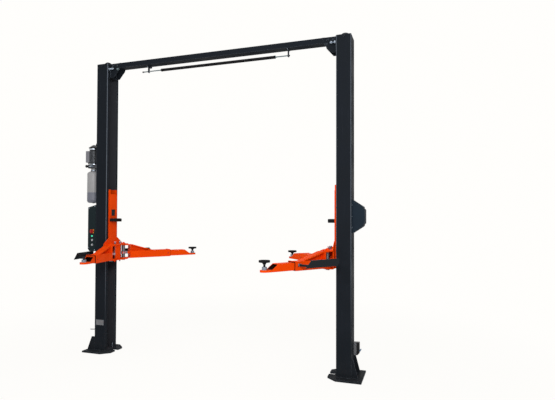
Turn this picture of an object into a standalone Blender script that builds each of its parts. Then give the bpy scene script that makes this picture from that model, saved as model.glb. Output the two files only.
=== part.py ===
"""Two post car lift with an overhead beam, four telescopic swing arms and a power unit.

The origin is the centre of the underside of the base plate on the power unit's side.
X runs across the bay from that column to the other one, Y runs along the vehicle and Z is up.
A station is a frame at the middle of the bay whose own X axis points at one column,
so a piece's distance from the middle is the same number on both sides.
"""
import math

import bmesh
import bpy
from mathutils import Matrix, Vector

LEFT, RIGHT = -1, 1
FRONT, BACK = -1, 1
SIDES = {"left": LEFT, "right": RIGHT}

# Clearances, in metres like every other length
SEAT = 0.0003
SLIDE_GAP = 0.0008
PIN_GAP = 0.0006
WELD = 0.002
LOCK_GAP = 0.0055

# Columns
COLUMN_FACE = 1.521
COLUMN_HEIGHT = 3.800
COLUMN_DEPTH = 0.169
COLUMN_WIDTH = 0.230
COLUMN_WALL = 0.006
COLUMN_LIP = 0.040
COLUMN_BEND = 0.010
COLUMN_OUTER = COLUMN_FACE + COLUMN_DEPTH
PEG_HEIGHT = 0.262
PEG_LENGTH = 0.160
PEG_RADIUS = 0.005

# Base plates
PLATE_TOE = 0.093
PLATE_HEEL = 0.119
PLATE_WIDTH = 0.410
PLATE_THICK = 0.020
CHAMFER_LONG = 0.102
CHAMFER_WIDE = 0.087
SLOT_WIDTH = 0.066
SLOT_DEPTH = 0.070
LEFT_GUSSET_HEIGHT = 0.170
LEFT_GUSSET_HEAD = 0.050
LEFT_GUSSET_FOOT = 0.112
RIGHT_GUSSET_HEIGHT = 0.200
RIGHT_GUSSET_HEAD = 0.018
RIGHT_GUSSET_FOOT = 0.068
GUSSET_THICK = 0.010
GUSSET_SPREAD = 0.100
GUSSET_TOE = 0.012
ANCHOR_RADIUS = 0.0105
NUT_RISE = 0.018
ANCHOR_INSET = 0.034
ROPE_STUD_RADIUS = 0.007
ROPE_STUD_RISE = 0.056
PLATE_INNER = COLUMN_FACE - PLATE_TOE
PLATE_OUTER = COLUMN_OUTER + PLATE_HEEL
GUSSETS = {
    "left": (LEFT_GUSSET_HEIGHT, LEFT_GUSSET_HEAD, LEFT_GUSSET_FOOT),
    "right": (RIGHT_GUSSET_HEIGHT, RIGHT_GUSSET_HEAD, RIGHT_GUSSET_FOOT),
}
MID_X = (PLATE_INNER + PLATE_OUTER) / 2

# Overhead beam and its end brackets
BEAM_DROP = 0.053
BEAM_HEIGHT = 0.063
BEAM_WIDTH = 0.108
BEAM_WALL = 0.004
BEAM_END_GAP = 0.012
CHEEK_TOP_LENGTH = 0.166
CHEEK_MID_LENGTH = 0.140
CHEEK_FOOT = 0.058
CHEEK_DROP = 0.172
CHEEK_THICK = 0.006
BRACKET_INSET = 0.015
LIP_BOLT_RADIUS = 0.008
LIP_BOLT_LENGTH = 0.072
LIP_BOLT_SPREAD = 0.090
LIP_BOLT_DROP = 0.070
BEAM_BOTTOM = COLUMN_HEIGHT - BEAM_DROP

# Sheaves in the column heads
SHEAVE_RADIUS = 0.072
SHEAVE_GROOVE = 0.007
SHEAVE_WIDTH = 0.030
SHEAVE_RISE = 0.055
AXLE_RADIUS = 0.0125
AXLE_PROUD = 0.010
SHEAVE_HEIGHT = COLUMN_HEIGHT + SHEAVE_RISE - SHEAVE_RADIUS

# Height limit bar
BAR_DROP = 0.075
BAR_RADIUS = 0.0065
RIGHT_BAR_INSET = 0.5845
LEFT_BAR_INSET = 0.5555
BAR_TAIL = 0.0925
BAR_END = 0.014
SLEEVE_INSET = 0.176
BAR_SLEEVE_RADIUS = 0.0175
BAR_LIFT = 0.036
HANGER_WIDTH = 0.026
HANGER_THICK = 0.012
HANGER_DROP = 0.016
HANGER_FOOT_HALF = 0.046
HANGER_FOOT_THICK = 0.006
SWITCH_LENGTH = 0.035
SWITCH_DROP = 0.021
BAR_HEIGHT = BEAM_BOTTOM - BAR_DROP
RIGHT_PIVOT = COLUMN_FACE - RIGHT_BAR_INSET
LEFT_PIVOT = COLUMN_FACE - LEFT_BAR_INSET
SLEEVE_HALF = (RIGHT_PIVOT + LEFT_PIVOT) / 2 - SLEEVE_INSET

# Carriages, measured up from the underside of the clevis
CARRIAGE_FOOT = 1.203
CARRIAGE_PROUD = 0.024
CARRIAGE_WIDTH = 0.145
CARRIAGE_WALL = 0.008
CARRIAGE_BACK = 0.026
CARRIAGE_HEIGHT = 0.870
CHEEK_HEIGHT = 0.931
WINDOW_RISE = 0.583
WINDOW_HEIGHT = 0.085
WINDOW_WIDTH = 0.080
FLARE_RISE = 0.303
FLARE_HALF = 0.178
FLARE_STEP = 0.014
FLARE_BOLT_RADIUS = 0.009
FLARE_BOLT_RISE = 0.229
FLARE_BOLT_SPREAD = 0.062
CLEVIS_HEIGHT = 0.209
CLEVIS_THICK = 0.012
CLEVIS_HALF = 0.190
CLEVIS_NOSE = 0.055
CLEVIS_CORNER = 0.035
CENTRE_WEB = 0.050
SLIDE_LENGTH = 0.120
SLIDE_INSET = 0.020
BUFFER_RISE = 0.527
BUFFER_DEPTH = 0.075
BUFFER_WIDTH = 0.160
BUFFER_TALL = 0.042
CARRIAGE_FACE = COLUMN_FACE - CARRIAGE_PROUD
CLEVIS_TOP = CARRIAGE_FOOT + CLEVIS_HEIGHT

# Arm pins and arm locks
PIVOT_PROUD = 0.091
PIVOT_SPREAD = 0.130
PIN_RADIUS = 0.020
PIN_PROUD = 0.006
GEAR_RADIUS = 0.050
GEAR_TOOTH = 0.005
GEAR_TEETH = 16
GEAR_RISE = 0.060
GEAR_THICK = 0.030
LOCK_BLOCK = 0.018
LOCK_RADIUS = 0.008
LOCK_DROP = 0.024
LOCK_RISE = 0.030
PIVOT_OUT = COLUMN_FACE - PIVOT_PROUD
LOCK_SPREAD = PIVOT_SPREAD - GEAR_RADIUS - GEAR_TOOTH - LOCK_GAP - LOCK_BLOCK

# Arms, measured along each arm from its pin
LUG_RADIUS = 0.050
LUG_THICK = 0.010
ARM_HEIGHT = 0.095
ARM_WIDTH = 0.120
ARM_WALL = 0.006
ARM_START = 0.078
END_PLATE = 0.010
STRAP_END = 0.400
STRAP_WIDTH = 0.090
STRAP_THICK = 0.008
STRAP_WEB = 0.008
COLLAR_LENGTH = 0.022
COLLAR_RISE = 0.004
STOP_RADIUS = 0.009
STOP_INSET = 0.030
FRONT_OUTER_LENGTH = 0.500
BACK_OUTER_LENGTH = 0.635
INNER_SIDE_GAP = 0.003
INNER_HEIGHT = 0.078
INNER_WALL = 0.006
FRONT_INNER_LENGTH = 0.523
BACK_INNER_LENGTH = 0.695
TIP_THICK = 0.022
TIP_RADIUS = 0.045
TIP_HEEL = 0.050
SLANT_LOW = 0.062
SLANT_HIGH = 0.140
ARM_FOOT = CARRIAGE_FOOT + CLEVIS_THICK + PIN_GAP
ARM_HEAD = CLEVIS_TOP - CLEVIS_THICK - PIN_GAP
INNER_FOOT = ARM_FOOT + ARM_WALL + PIN_GAP

# Toe guards beside the outer arms
GUARD_OFFSET = 0.190
GUARD_START = 0.038
GUARD_LENGTH = 0.385
GUARD_HEIGHT = 0.076
GUARD_FLANGE = 0.030
GUARD_WALL = 0.004
GUARD_LIFT = 0.040
GUARD_HEEL = 0.026
GUARD_NOSE = 0.075
BRACE_START = 0.120
BRACE_WIDTH = 0.030
BRACE_THICK = 0.006
STAY_LENGTH = 0.060
STAY_HEIGHT = 0.022

# Pads on their screws
PAD_RADIUS = 0.0575
PAD_THICK = 0.018
STEM_RADIUS = 0.012
SLEEVE_RADIUS = 0.021
SLEEVE_RISE = 0.028

# Each arm's swing from the Y axis in degrees, its reach to the pad and its pad's lift
LEFT_FRONT_SWING = 12.3
LEFT_BACK_SWING = 37.8
RIGHT_FRONT_SWING = 35.4
RIGHT_BACK_SWING = 45.0
LEFT_FRONT_REACH = 0.668
LEFT_BACK_REACH = 1.003
RIGHT_FRONT_REACH = 0.851
RIGHT_BACK_REACH = 0.948
LEFT_FRONT_LIFT = 0.112
LEFT_BACK_LIFT = 0.090
RIGHT_FRONT_LIFT = 0.100
RIGHT_BACK_LIFT = 0.084
ARMS = {
    "left_front": (LEFT, FRONT, LEFT_FRONT_SWING, LEFT_FRONT_REACH, LEFT_FRONT_LIFT),
    "left_back": (LEFT, BACK, LEFT_BACK_SWING, LEFT_BACK_REACH, LEFT_BACK_LIFT),
    "right_front": (RIGHT, FRONT, RIGHT_FRONT_SWING, RIGHT_FRONT_REACH, RIGHT_FRONT_LIFT),
    "right_back": (RIGHT, BACK, RIGHT_BACK_SWING, RIGHT_BACK_REACH, RIGHT_BACK_LIFT),
}
OUTER_LENGTH = {FRONT: FRONT_OUTER_LENGTH, BACK: BACK_OUTER_LENGTH}
INNER_LENGTH = {FRONT: FRONT_INNER_LENGTH, BACK: BACK_INNER_LENGTH}

# Hydraulic cylinders in the columns
CYLINDER_RADIUS = 0.0375
CYLINDER_TOP = 1.150
CYLINDER_GAP = 0.0035
GLAND_PROUD = 0.003
GLAND_LENGTH = 0.040
BORE_RADIUS = 0.028
BORE_BOTTOM = 0.100
ROD_RADIUS = 0.0225
ROD_BOTTOM = 0.700
ROD_TOP = 1.750
YOKE_DEPTH = 0.052
YOKE_WIDTH = 0.060
YOKE_TALL = 0.040
ROLLER_RADIUS = 0.034
CYLINDER_OUT = COLUMN_OUTER - COLUMN_WALL - CYLINDER_GAP - GLAND_PROUD - CYLINDER_RADIUS

# Control box on the left column
BOX_BOTTOM = 1.317
BOX_HEIGHT = 0.612
BOX_DEPTH = 0.120
BOX_WIDTH = 0.215
BOX_TOP_FALL = 0.032
BOX_FOOT_RISE = 0.030
BOX_FOOT_INSET = 0.022
PANEL_INSET = 0.050
KNOB_RISE = 0.262
LAMP_RISE = 0.200
UP_RISE = 0.146
DOWN_RISE = 0.084
BUTTON_RADIUS = 0.010
RING_WIDTH = 0.004
RING_PROUD = 0.005
WELL_DEPTH = 0.008
SHIELD_HALF = 0.026
SHIELD_THICK = 0.004
KNOB_RADIUS = 0.021
KNOB_DEPTH = 0.014
GRIP_DEPTH = 0.016
GRIP_HALF = 0.005
BOX_TOP = BOX_BOTTOM + BOX_HEIGHT
PANEL_OUT = COLUMN_OUTER + PANEL_INSET

# Power unit above the control box
UNIT_STANDOFF = 0.132
TANK_RADIUS = 0.082
TANK_RISE = 0.031
TANK_HEIGHT = 0.431
TANK_SHOULDER = 0.030
NECK_RADIUS = 0.036
NECK_HEIGHT = 0.036
BLOCK_HEIGHT = 0.050
BLOCK_WIDTH = 0.110
BLOCK_PROUD = 0.050
MOTOR_RADIUS = 0.057
MOTOR_RIM = 0.004
MOTOR_HEIGHT = 0.200
COLLAR_BAND = 0.026
CAP_RADIUS = 0.066
CAP_HEIGHT = 0.040
TERMINAL_DEPTH = 0.052
TERMINAL_WIDTH = 0.090
TERMINAL_TALL = 0.156
TERMINAL_RISE = 0.030
TERMINAL_BITE = 0.012
LEVER_RADIUS = 0.005
LEVER_LENGTH = 0.050
LEVER_HUB = 0.010
KNOB_BALL = 0.019
UNIT_OUT = COLUMN_OUTER + UNIT_STANDOFF
TANK_BOTTOM = BOX_TOP + TANK_RISE
TANK_TOP = TANK_BOTTOM + TANK_HEIGHT
BLOCK_FOOT = TANK_TOP + NECK_HEIGHT + SEAT

# Pressure hose
HOSE_RADIUS = 0.008
HOSE_CLEAR = 0.002
HOSE_INSET = 0.045
HOSE_PORT_DROP = 0.080
PORT_LENGTH = 0.035
PORT_WALL = 0.005
HOSE_OUT = COLUMN_OUTER - HOSE_INSET
HOSE_PORT = COLUMN_HEIGHT - HOSE_PORT_DROP

# Lock cover, foot box and the bare plate
COVER_BOTTOM = 1.595
COVER_HEIGHT = 0.371
COVER_DEPTH = 0.138
COVER_STEP = 0.016
COVER_WIDTH = 0.150
FOOT_BOTTOM = 0.226
FOOT_HEIGHT = 0.140
FOOT_DEPTH = 0.062
FOOT_WIDTH = 0.050
FOOT_INSET = 0.002
FOOT_SLOPE = 0.022
BLANK_BOTTOM = 0.346
BLANK_HEIGHT = 0.078
BLANK_WIDTH = 0.128
BLANK_THICK = 0.0015
BLANK_INSET = 0.022

COLOURS = {
    "column_paint": ((0.030, 0.034, 0.040), 0.35, 0.0),
    "arm_paint": ((0.760, 0.085, 0.010), 0.38, 0.0),
    "bare_steel": ((0.520, 0.530, 0.550), 0.30, 1.0),
    "black_rubber": ((0.015, 0.015, 0.017), 0.80, 0.0),
    "guard_paint": ((0.035, 0.040, 0.045), 0.45, 0.0),
    "tank_plastic": ((0.480, 0.480, 0.480), 0.40, 0.0),
    "box_plastic": ((0.022, 0.030, 0.034), 0.50, 0.0),
    "light_box": ((0.480, 0.490, 0.500), 0.45, 0.0),
    "red_plastic": ((0.450, 0.010, 0.010), 0.35, 0.0),
    "yellow_plate": ((0.800, 0.420, 0.040), 0.40, 0.0),
    "button_grey": ((0.550, 0.550, 0.550), 0.40, 0.0),
}


def clear_scene():
    """Remove everything that a new file starts with."""
    for old in list(bpy.data.objects):
        bpy.data.objects.remove(old, do_unlink=True)
    for name in ("two_post_car_lift", "cutters"):
        bpy.context.scene.collection.children.link(bpy.data.collections.new(name))


def material(slot):
    """Return the material of that name, made on first use."""
    found = bpy.data.materials.get(slot)
    if found:
        return found
    colour, roughness, metallic = COLOURS[slot]
    made = bpy.data.materials.new(slot)
    made.use_nodes = True
    shader = made.node_tree.nodes["Principled BSDF"]
    shader.inputs["Base Color"].default_value = (*colour, 1)
    shader.inputs["Roughness"].default_value = roughness
    shader.inputs["Metallic"].default_value = metallic
    return made


def add_object(name, mesh, parent=None):
    """Make a part's object from a mesh and hang it on an empty."""
    made = bpy.data.objects.new(name, mesh)
    bpy.data.collections["two_post_car_lift"].objects.link(made)
    made.parent = parent
    return made


def finish(part, slot, smooth_angle=None):
    """Give a part its own material and, where it is round, smooth shading."""
    part.data.materials.clear()
    part.data.materials.append(material(slot))
    if smooth_angle:
        part.data.shade_smooth()
        part.data.set_sharp_from_angle(angle=math.radians(smooth_angle))
    return part


def empty(name, location, heading=0.0, parent=None):
    """An empty that carries a group of parts."""
    made = bpy.data.objects.new(name, None)
    bpy.context.scene.collection.objects.link(made)
    made.location = location
    made.rotation_euler = (0, 0, heading)
    made.parent = parent
    return made


def box(name, low, high, parent=None):
    """A block between two corners."""
    low, high = Vector(low), Vector(high)
    shape = bmesh.new()
    bmesh.ops.create_cube(shape, size=1)
    bmesh.ops.scale(shape, vec=high - low, verts=shape.verts)
    bmesh.ops.translate(shape, vec=(low + high) / 2, verts=shape.verts)
    mesh = bpy.data.meshes.new(name)
    shape.to_mesh(mesh)
    shape.free()
    return add_object(name, mesh, parent)


def rod(name, start, end, radius, end_radius=None, sides=24, parent=None):
    """A cylinder or a cone between two points."""
    start, end = Vector(start), Vector(end)
    along = end - start
    turn = Vector((0, 0, 1)).rotation_difference(along).to_matrix().to_4x4()
    shape = bmesh.new()
    bmesh.ops.create_cone(shape, cap_ends=True, segments=sides, radius1=radius,
                          radius2=radius if end_radius is None else end_radius,
                          depth=along.length)
    bmesh.ops.transform(shape, matrix=Matrix.Translation((start + end) / 2) @ turn, verts=shape.verts)
    mesh = bpy.data.meshes.new(name)
    shape.to_mesh(mesh)
    shape.free()
    return add_object(name, mesh, parent)


def arc(centre, radius, start, end, steps):
    """Points on an arc in the plane, with its angles in degrees."""
    angles = [math.radians(start + (end - start) * i / steps) for i in range(steps + 1)]
    return [(centre[0] + radius * math.cos(a), centre[1] + radius * math.sin(a)) for a in angles]


def round_corners(points, radii, steps=3):
    """The outline with each corner of a radius above nought made round."""
    out = []
    for i, (point, radius) in enumerate(zip(points, radii)):
        here = Vector(point)
        if not radius:
            out.append(tuple(here))
            continue
        back = (Vector(points[i - 1]) - here).normalized()
        ahead = (Vector(points[(i + 1) % len(points)]) - here).normalized()
        half = back.angle(ahead) / 2
        first = here + back * (radius / math.tan(half))
        last = here + ahead * (radius / math.tan(half))
        centre = here + (back + ahead).normalized() * (radius / math.sin(half))
        for k in range(steps + 1):
            spoke = (first - centre).lerp(last - centre, k / steps)
            out.append(tuple(centre + spoke.normalized() * radius))
    return out


AXES = {
    "z": Matrix(((1, 0, 0, 0), (0, 1, 0, 0), (0, 0, 1, 0), (0, 0, 0, 1))),
    "y": Matrix(((1, 0, 0, 0), (0, 0, -1, 0), (0, 1, 0, 0), (0, 0, 0, 1))),
    "x": Matrix(((0, 0, 1, 0), (1, 0, 0, 0), (0, 1, 0, 0), (0, 0, 0, 1))),
}


def plate(name, outline, low, high, along="z", parent=None):
    """A flat outline made as thick as the stretch from low to high along one axis.

    The outline is in X and Y for z, in X and Z for y, and in Y and Z for x.
    """
    curve = bpy.data.curves.new(name, "CURVE")
    curve.dimensions = "2D"
    curve.fill_mode = "BOTH"
    curve.extrude = (high - low) / 2
    spline = curve.splines.new("POLY")
    spline.points.add(len(outline) - 1)
    for point, spot in zip(spline.points, outline):
        point.co = (spot[0], spot[1], 0, 1)
    spline.use_cyclic_u = True
    drawn = bpy.data.objects.new(name + "_outline", curve)
    bpy.context.scene.collection.objects.link(drawn)
    graph = bpy.context.evaluated_depsgraph_get()
    mesh = bpy.data.meshes.new_from_object(drawn.evaluated_get(graph))
    bpy.data.objects.remove(drawn, do_unlink=True)
    bpy.data.curves.remove(curve)
    mesh.name = name
    shape = bmesh.new()
    shape.from_mesh(mesh)
    bmesh.ops.remove_doubles(shape, verts=shape.verts, dist=0.00001)
    middle = (low + high) / 2 * (-1 if along == "y" else 1)
    move = AXES[along] @ Matrix.Translation((0, 0, middle))
    bmesh.ops.transform(shape, matrix=move, verts=shape.verts)
    bmesh.ops.recalc_face_normals(shape, faces=shape.faces)
    shape.to_mesh(mesh)
    shape.free()
    return add_object(name, mesh, parent)


def turned(name, profile, sides=32, parent=None, ring=False):
    """A profile of radius and height, top to bottom, turned about the Z axis.

    A ring's profile closes on itself, and any other starts and ends on the axis.
    """
    mesh = bpy.data.meshes.new(name)
    edges = [(i, i + 1) for i in range(len(profile) - 1)]
    if ring:
        edges.append((len(profile) - 1, 0))
    mesh.from_pydata([(radius, 0, height) for radius, height in profile], edges, [])
    part = add_object(name, mesh, parent)
    screw = part.modifiers.new("turn", "SCREW")
    screw.steps = sides
    screw.render_steps = sides
    screw.use_merge_vertices = True
    screw.merge_threshold = 0.00001
    return part


def settle(part):
    """Turn a part's modifiers into its plain mesh."""
    graph = bpy.context.evaluated_depsgraph_get()
    mesh = bpy.data.meshes.new_from_object(part.evaluated_get(graph))
    part.modifiers.clear()
    part.data = mesh
    return part


def combine(part, others, operation):
    """Add others to a part, or cut them out of it."""
    for other in others:
        step = part.modifiers.new(operation.lower() + "_" + other.name, "BOOLEAN")
        step.operation = operation
        step.solver = "EXACT"
        step.object = other
        for home in list(other.users_collection):
            home.objects.unlink(other)
        bpy.data.collections["cutters"].objects.link(other)
        other.hide_render = True
        other.display_type = "WIRE"
    return part


def fuse(part, *others):
    """Weld the others onto a part."""
    return combine(part, others, "UNION")


def cut(part, *others):
    """Cut the others out of a part."""
    return combine(part, others, "DIFFERENCE")


def hexagon(name, start, end, radius, parent):
    """A hexagonal nut or bolt head between two points."""
    return rod(name, start, end, radius, sides=6, parent=parent)


def across(end, near, far):
    """The low and the high of a stretch that lies on one side of the middle."""
    return sorted((end * near, end * far))


# Frame


def make_base(name, station):
    """A base plate with its gussets, anchor holes and rope anchor."""
    half = PLATE_WIDTH / 2
    mouth = SLOT_WIDTH / 2
    outline = [
        (PLATE_INNER, -half + CHAMFER_WIDE), (PLATE_INNER + CHAMFER_LONG, -half), (PLATE_OUTER, -half),
        (PLATE_OUTER, half), (PLATE_INNER + CHAMFER_LONG, half), (PLATE_INNER, half - CHAMFER_WIDE),
        (PLATE_INNER, mouth), (PLATE_INNER + SLOT_DEPTH, mouth),
        (PLATE_INNER + SLOT_DEPTH, -mouth), (PLATE_INNER, -mouth),
    ]
    base = plate("base_" + name, outline, 0, PLATE_THICK, "z", station)
    tall, head, reach = GUSSETS[name]
    heel = COLUMN_OUTER + SEAT
    foot = PLATE_THICK - WELD
    shape = [(heel, foot), (heel + reach, foot), (heel + reach, PLATE_THICK + GUSSET_TOE),
             (heel + head, PLATE_THICK + tall), (heel, PLATE_THICK + tall)]
    for spot in (-GUSSET_SPREAD, GUSSET_SPREAD):
        fuse(base, plate(f"gusset_{name}_{spot:+.2f}", shape, spot - GUSSET_THICK / 2,
                         spot + GUSSET_THICK / 2, "y", station))
    edge = half - ANCHOR_INSET
    near = PLATE_INNER + ANCHOR_INSET + ANCHOR_RADIUS
    spots = []
    for end in (FRONT, BACK):
        spots.append((PLATE_OUTER - ANCHOR_INSET, end * edge))
        spots.append((PLATE_INNER + CHAMFER_LONG + ANCHOR_INSET, end * edge))
        spots.append((near, end * (mouth + ANCHOR_INSET)))
    for i, (out, side) in enumerate(spots):
        cut(base, rod(f"anchor_hole_{name}_{i}", (out, side, -foot), (out, side, PLATE_THICK * 2),
                      ANCHOR_RADIUS, sides=12, parent=station))
    out = COLUMN_FACE + COLUMN_LIP
    side = -COLUMN_WIDTH / 2 + COLUMN_WALL + ROPE_STUD_RADIUS * 3
    top = PLATE_THICK + ROPE_STUD_RISE
    fuse(base,
         rod("rope_stud_" + name, (out, side, foot), (out, side, top), ROPE_STUD_RADIUS, sides=10,
             parent=station),
         hexagon("rope_nut_" + name, (out, side, top - NUT_RISE * 2), (out, side, top - NUT_RISE),
                 ROPE_STUD_RADIUS * 1.9, station))
    return finish(base, "column_paint")


def make_column(side, name, station):
    """A column of folded plate, open towards the bay, with the sheave's axle in its head."""
    half, wall = COLUMN_WIDTH / 2, COLUMN_WALL
    mouth = half - COLUMN_LIP
    outer, inner = COLUMN_OUTER, COLUMN_FACE
    outline = [
        (inner, -mouth), (inner, -half), (outer, -half), (outer, half), (inner, half), (inner, mouth),
        (inner + wall, mouth), (inner + wall, half - wall), (outer - wall, half - wall),
        (outer - wall, -half + wall), (inner + wall, -half + wall), (inner + wall, -mouth),
    ]
    bend, fold = COLUMN_BEND, COLUMN_BEND - wall
    radii = [0, bend, bend, bend, bend, 0, 0, fold, fold, fold, fold, 0]
    column = plate("column_" + name, round_corners(outline, radii), PLATE_THICK + SEAT, COLUMN_HEIGHT,
                   "z", station)
    out = (inner + outer) / 2
    reach = half + AXLE_PROUD
    fuse(column, rod("axle_" + name, (out, -reach, SHEAVE_HEIGHT), (out, reach, SHEAVE_HEIGHT),
                     AXLE_RADIUS, sides=20, parent=station))
    if side == LEFT:
        spot = (HOSE_OUT, -half - HOSE_RADIUS - HOSE_CLEAR)
        fuse(column,
             hexagon("hose_port", (*spot, HOSE_PORT), (*spot, HOSE_PORT + PORT_LENGTH),
                     HOSE_RADIUS + PORT_WALL, station),
             rod("peg", (outer - wall / 2, 0, PEG_HEIGHT),
                 (outer + PEG_LENGTH, 0, PEG_HEIGHT - 2 * PEG_RADIUS), PEG_RADIUS, sides=10, parent=station))
    return finish(column, "column_paint")


def make_sheave(name, station):
    """A grooved rope wheel on the axle in a column's head."""
    hub = AXLE_RADIUS + PIN_GAP
    half = SHEAVE_WIDTH / 2
    root = SHEAVE_RADIUS - SHEAVE_GROOVE
    rim = SHEAVE_GROOVE / 2
    profile = [(hub, half), (SHEAVE_RADIUS, half), (SHEAVE_RADIUS, half - rim), (root, rim),
               (root, -rim), (SHEAVE_RADIUS, -half + rim), (SHEAVE_RADIUS, -half), (hub, -half)]
    wheel = settle(turned("sheave_" + name, profile, 24, station, ring=True))
    wheel.location = ((COLUMN_FACE + COLUMN_OUTER) / 2, 0, SHEAVE_HEIGHT)
    wheel.rotation_euler = (math.pi / 2, 0, 0)
    return finish(wheel, "column_paint", 30)


def make_beam():
    """The overhead channel that ties the column heads and carries the ropes and hose."""
    half, wall = BEAM_WIDTH / 2, BEAM_WALL
    top = BEAM_BOTTOM + BEAM_HEIGHT
    outline = [(-half, BEAM_BOTTOM), (half, BEAM_BOTTOM), (half, top), (half - wall, top),
               (half - wall, BEAM_BOTTOM + wall), (-half + wall, BEAM_BOTTOM + wall),
               (-half + wall, top), (-half, top)]
    reach = COLUMN_FACE - BEAM_END_GAP
    beam = plate("overhead_beam", outline, MID_X - reach, MID_X + reach, "x")
    return finish(beam, "column_paint")


def make_bracket(name, station):
    """Two cheeks on an end plate, which bolt one end of the beam to a column's lips."""
    inner = COLUMN_FACE - SEAT
    low, high = COLUMN_HEIGHT - CHEEK_DROP, COLUMN_HEIGHT
    crown = BEAM_BOTTOM + BEAM_HEIGHT
    outline = [(inner, low), (inner, high), (inner - CHEEK_THICK, high), (inner - CHEEK_TOP_LENGTH, crown),
               (inner - CHEEK_MID_LENGTH, BEAM_BOTTOM - BEAM_END_GAP * 2), (inner - CHEEK_FOOT, low)]
    near = BEAM_WIDTH / 2 + SEAT
    wide = COLUMN_WIDTH / 2 - BRACKET_INSET
    bracket = box("beam_bracket_" + name, (inner - CHEEK_THICK, -wide, low), (inner, wide, high), station)
    cut(bracket, box("rope_way_" + name, (inner - CHEEK_THICK * 2, -near + BEAM_WALL, BEAM_BOTTOM),
                     (inner + CHEEK_THICK, near - BEAM_WALL, high + CHEEK_THICK), station))
    level = COLUMN_HEIGHT - LIP_BOLT_DROP
    seat = inner - CHEEK_THICK + WELD
    for end in (FRONT, BACK):
        start, stop = across(end, near, near + CHEEK_THICK)
        side = end * LIP_BOLT_SPREAD
        fuse(bracket, plate(f"cheek_{name}_{end}", outline, start, stop, "y", station),
             rod(f"lip_stud_{name}_{end}", (seat, side, level), (seat - LIP_BOLT_LENGTH, side, level),
                 LIP_BOLT_RADIUS, sides=12, parent=station),
             hexagon(f"lip_nut_{name}_{end}", (seat, side, level), (seat - NUT_RISE, side, level),
                     LIP_BOLT_RADIUS * 1.8, station))
    return finish(bracket, "column_paint")


# Height limit bar


def hang(name, pivot, reach, drop, station):
    """One hanger: a foot across the beam's underside and the tab that hangs from it."""
    top = BEAM_BOTTOM - SEAT
    half, thick, deep = HANGER_WIDTH / 2, HANGER_THICK / 2, HANGER_FOOT_HALF
    hanger = box("bar_hanger_" + name, (pivot - thick, -half, BAR_HEIGHT - HANGER_DROP),
                 (pivot + thick, half, top - WELD), station)
    return fuse(hanger, box("hanger_foot_" + name, (pivot - reach / 2, -deep, top - drop),
                            (pivot + reach / 2, deep, top), station))


def make_hangers(right, left):
    """The two hangers under the beam, the left one with the limit switch in its foot."""
    pivot = hang("right", RIGHT_PIVOT, HANGER_THICK * 1.5, HANGER_FOOT_THICK, right)
    cut(pivot, rod("hanger_bore", (RIGHT_PIVOT - HANGER_THICK, 0, BAR_HEIGHT),
                   (RIGHT_PIVOT + HANGER_THICK, 0, BAR_HEIGHT), BAR_RADIUS + PIN_GAP, sides=16, parent=right))
    guide = hang("left", LEFT_PIVOT, SWITCH_LENGTH, SWITCH_DROP, left)
    slot = BAR_RADIUS + PIN_GAP
    cut(guide, box("hanger_slot", (LEFT_PIVOT - HANGER_THICK, -slot, BAR_HEIGHT - BAR_RADIUS - SEAT),
                   (LEFT_PIVOT + HANGER_THICK, slot, BAR_HEIGHT + BAR_RADIUS + BAR_LIFT), left))
    finish(pivot, "column_paint")
    finish(guide, "column_paint")


def make_bar():
    """The rod that a high roof lifts, and its foam sleeve."""
    bar = rod("limit_bar", (MID_X - LEFT_PIVOT - BAR_TAIL, 0, BAR_HEIGHT),
              (MID_X + RIGHT_PIVOT + BAR_END, 0, BAR_HEIGHT), BAR_RADIUS, sides=16)
    for side in (LEFT, RIGHT):
        start = MID_X + side * (SLEEVE_HALF + SEAT)
        stop = start + side * BAR_RADIUS * 1.5
        fuse(bar, rod(f"bar_collar_{side}", (start, 0, BAR_HEIGHT), (stop, 0, BAR_HEIGHT),
                      BAR_RADIUS * 1.8, sides=16))
    finish(bar, "bare_steel", 30)
    low, high = MID_X - SLEEVE_HALF, MID_X + SLEEVE_HALF
    sleeve = rod("bar_sleeve", (low, 0, BAR_HEIGHT), (high, 0, BAR_HEIGHT), BAR_SLEEVE_RADIUS, sides=20)
    cut(sleeve, rod("sleeve_bore", (low - BAR_RADIUS, 0, BAR_HEIGHT), (high + BAR_RADIUS, 0, BAR_HEIGHT),
                    BAR_RADIUS + SEAT, sides=16))
    finish(sleeve, "black_rubber", 30)


# Carriages and arms


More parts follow.
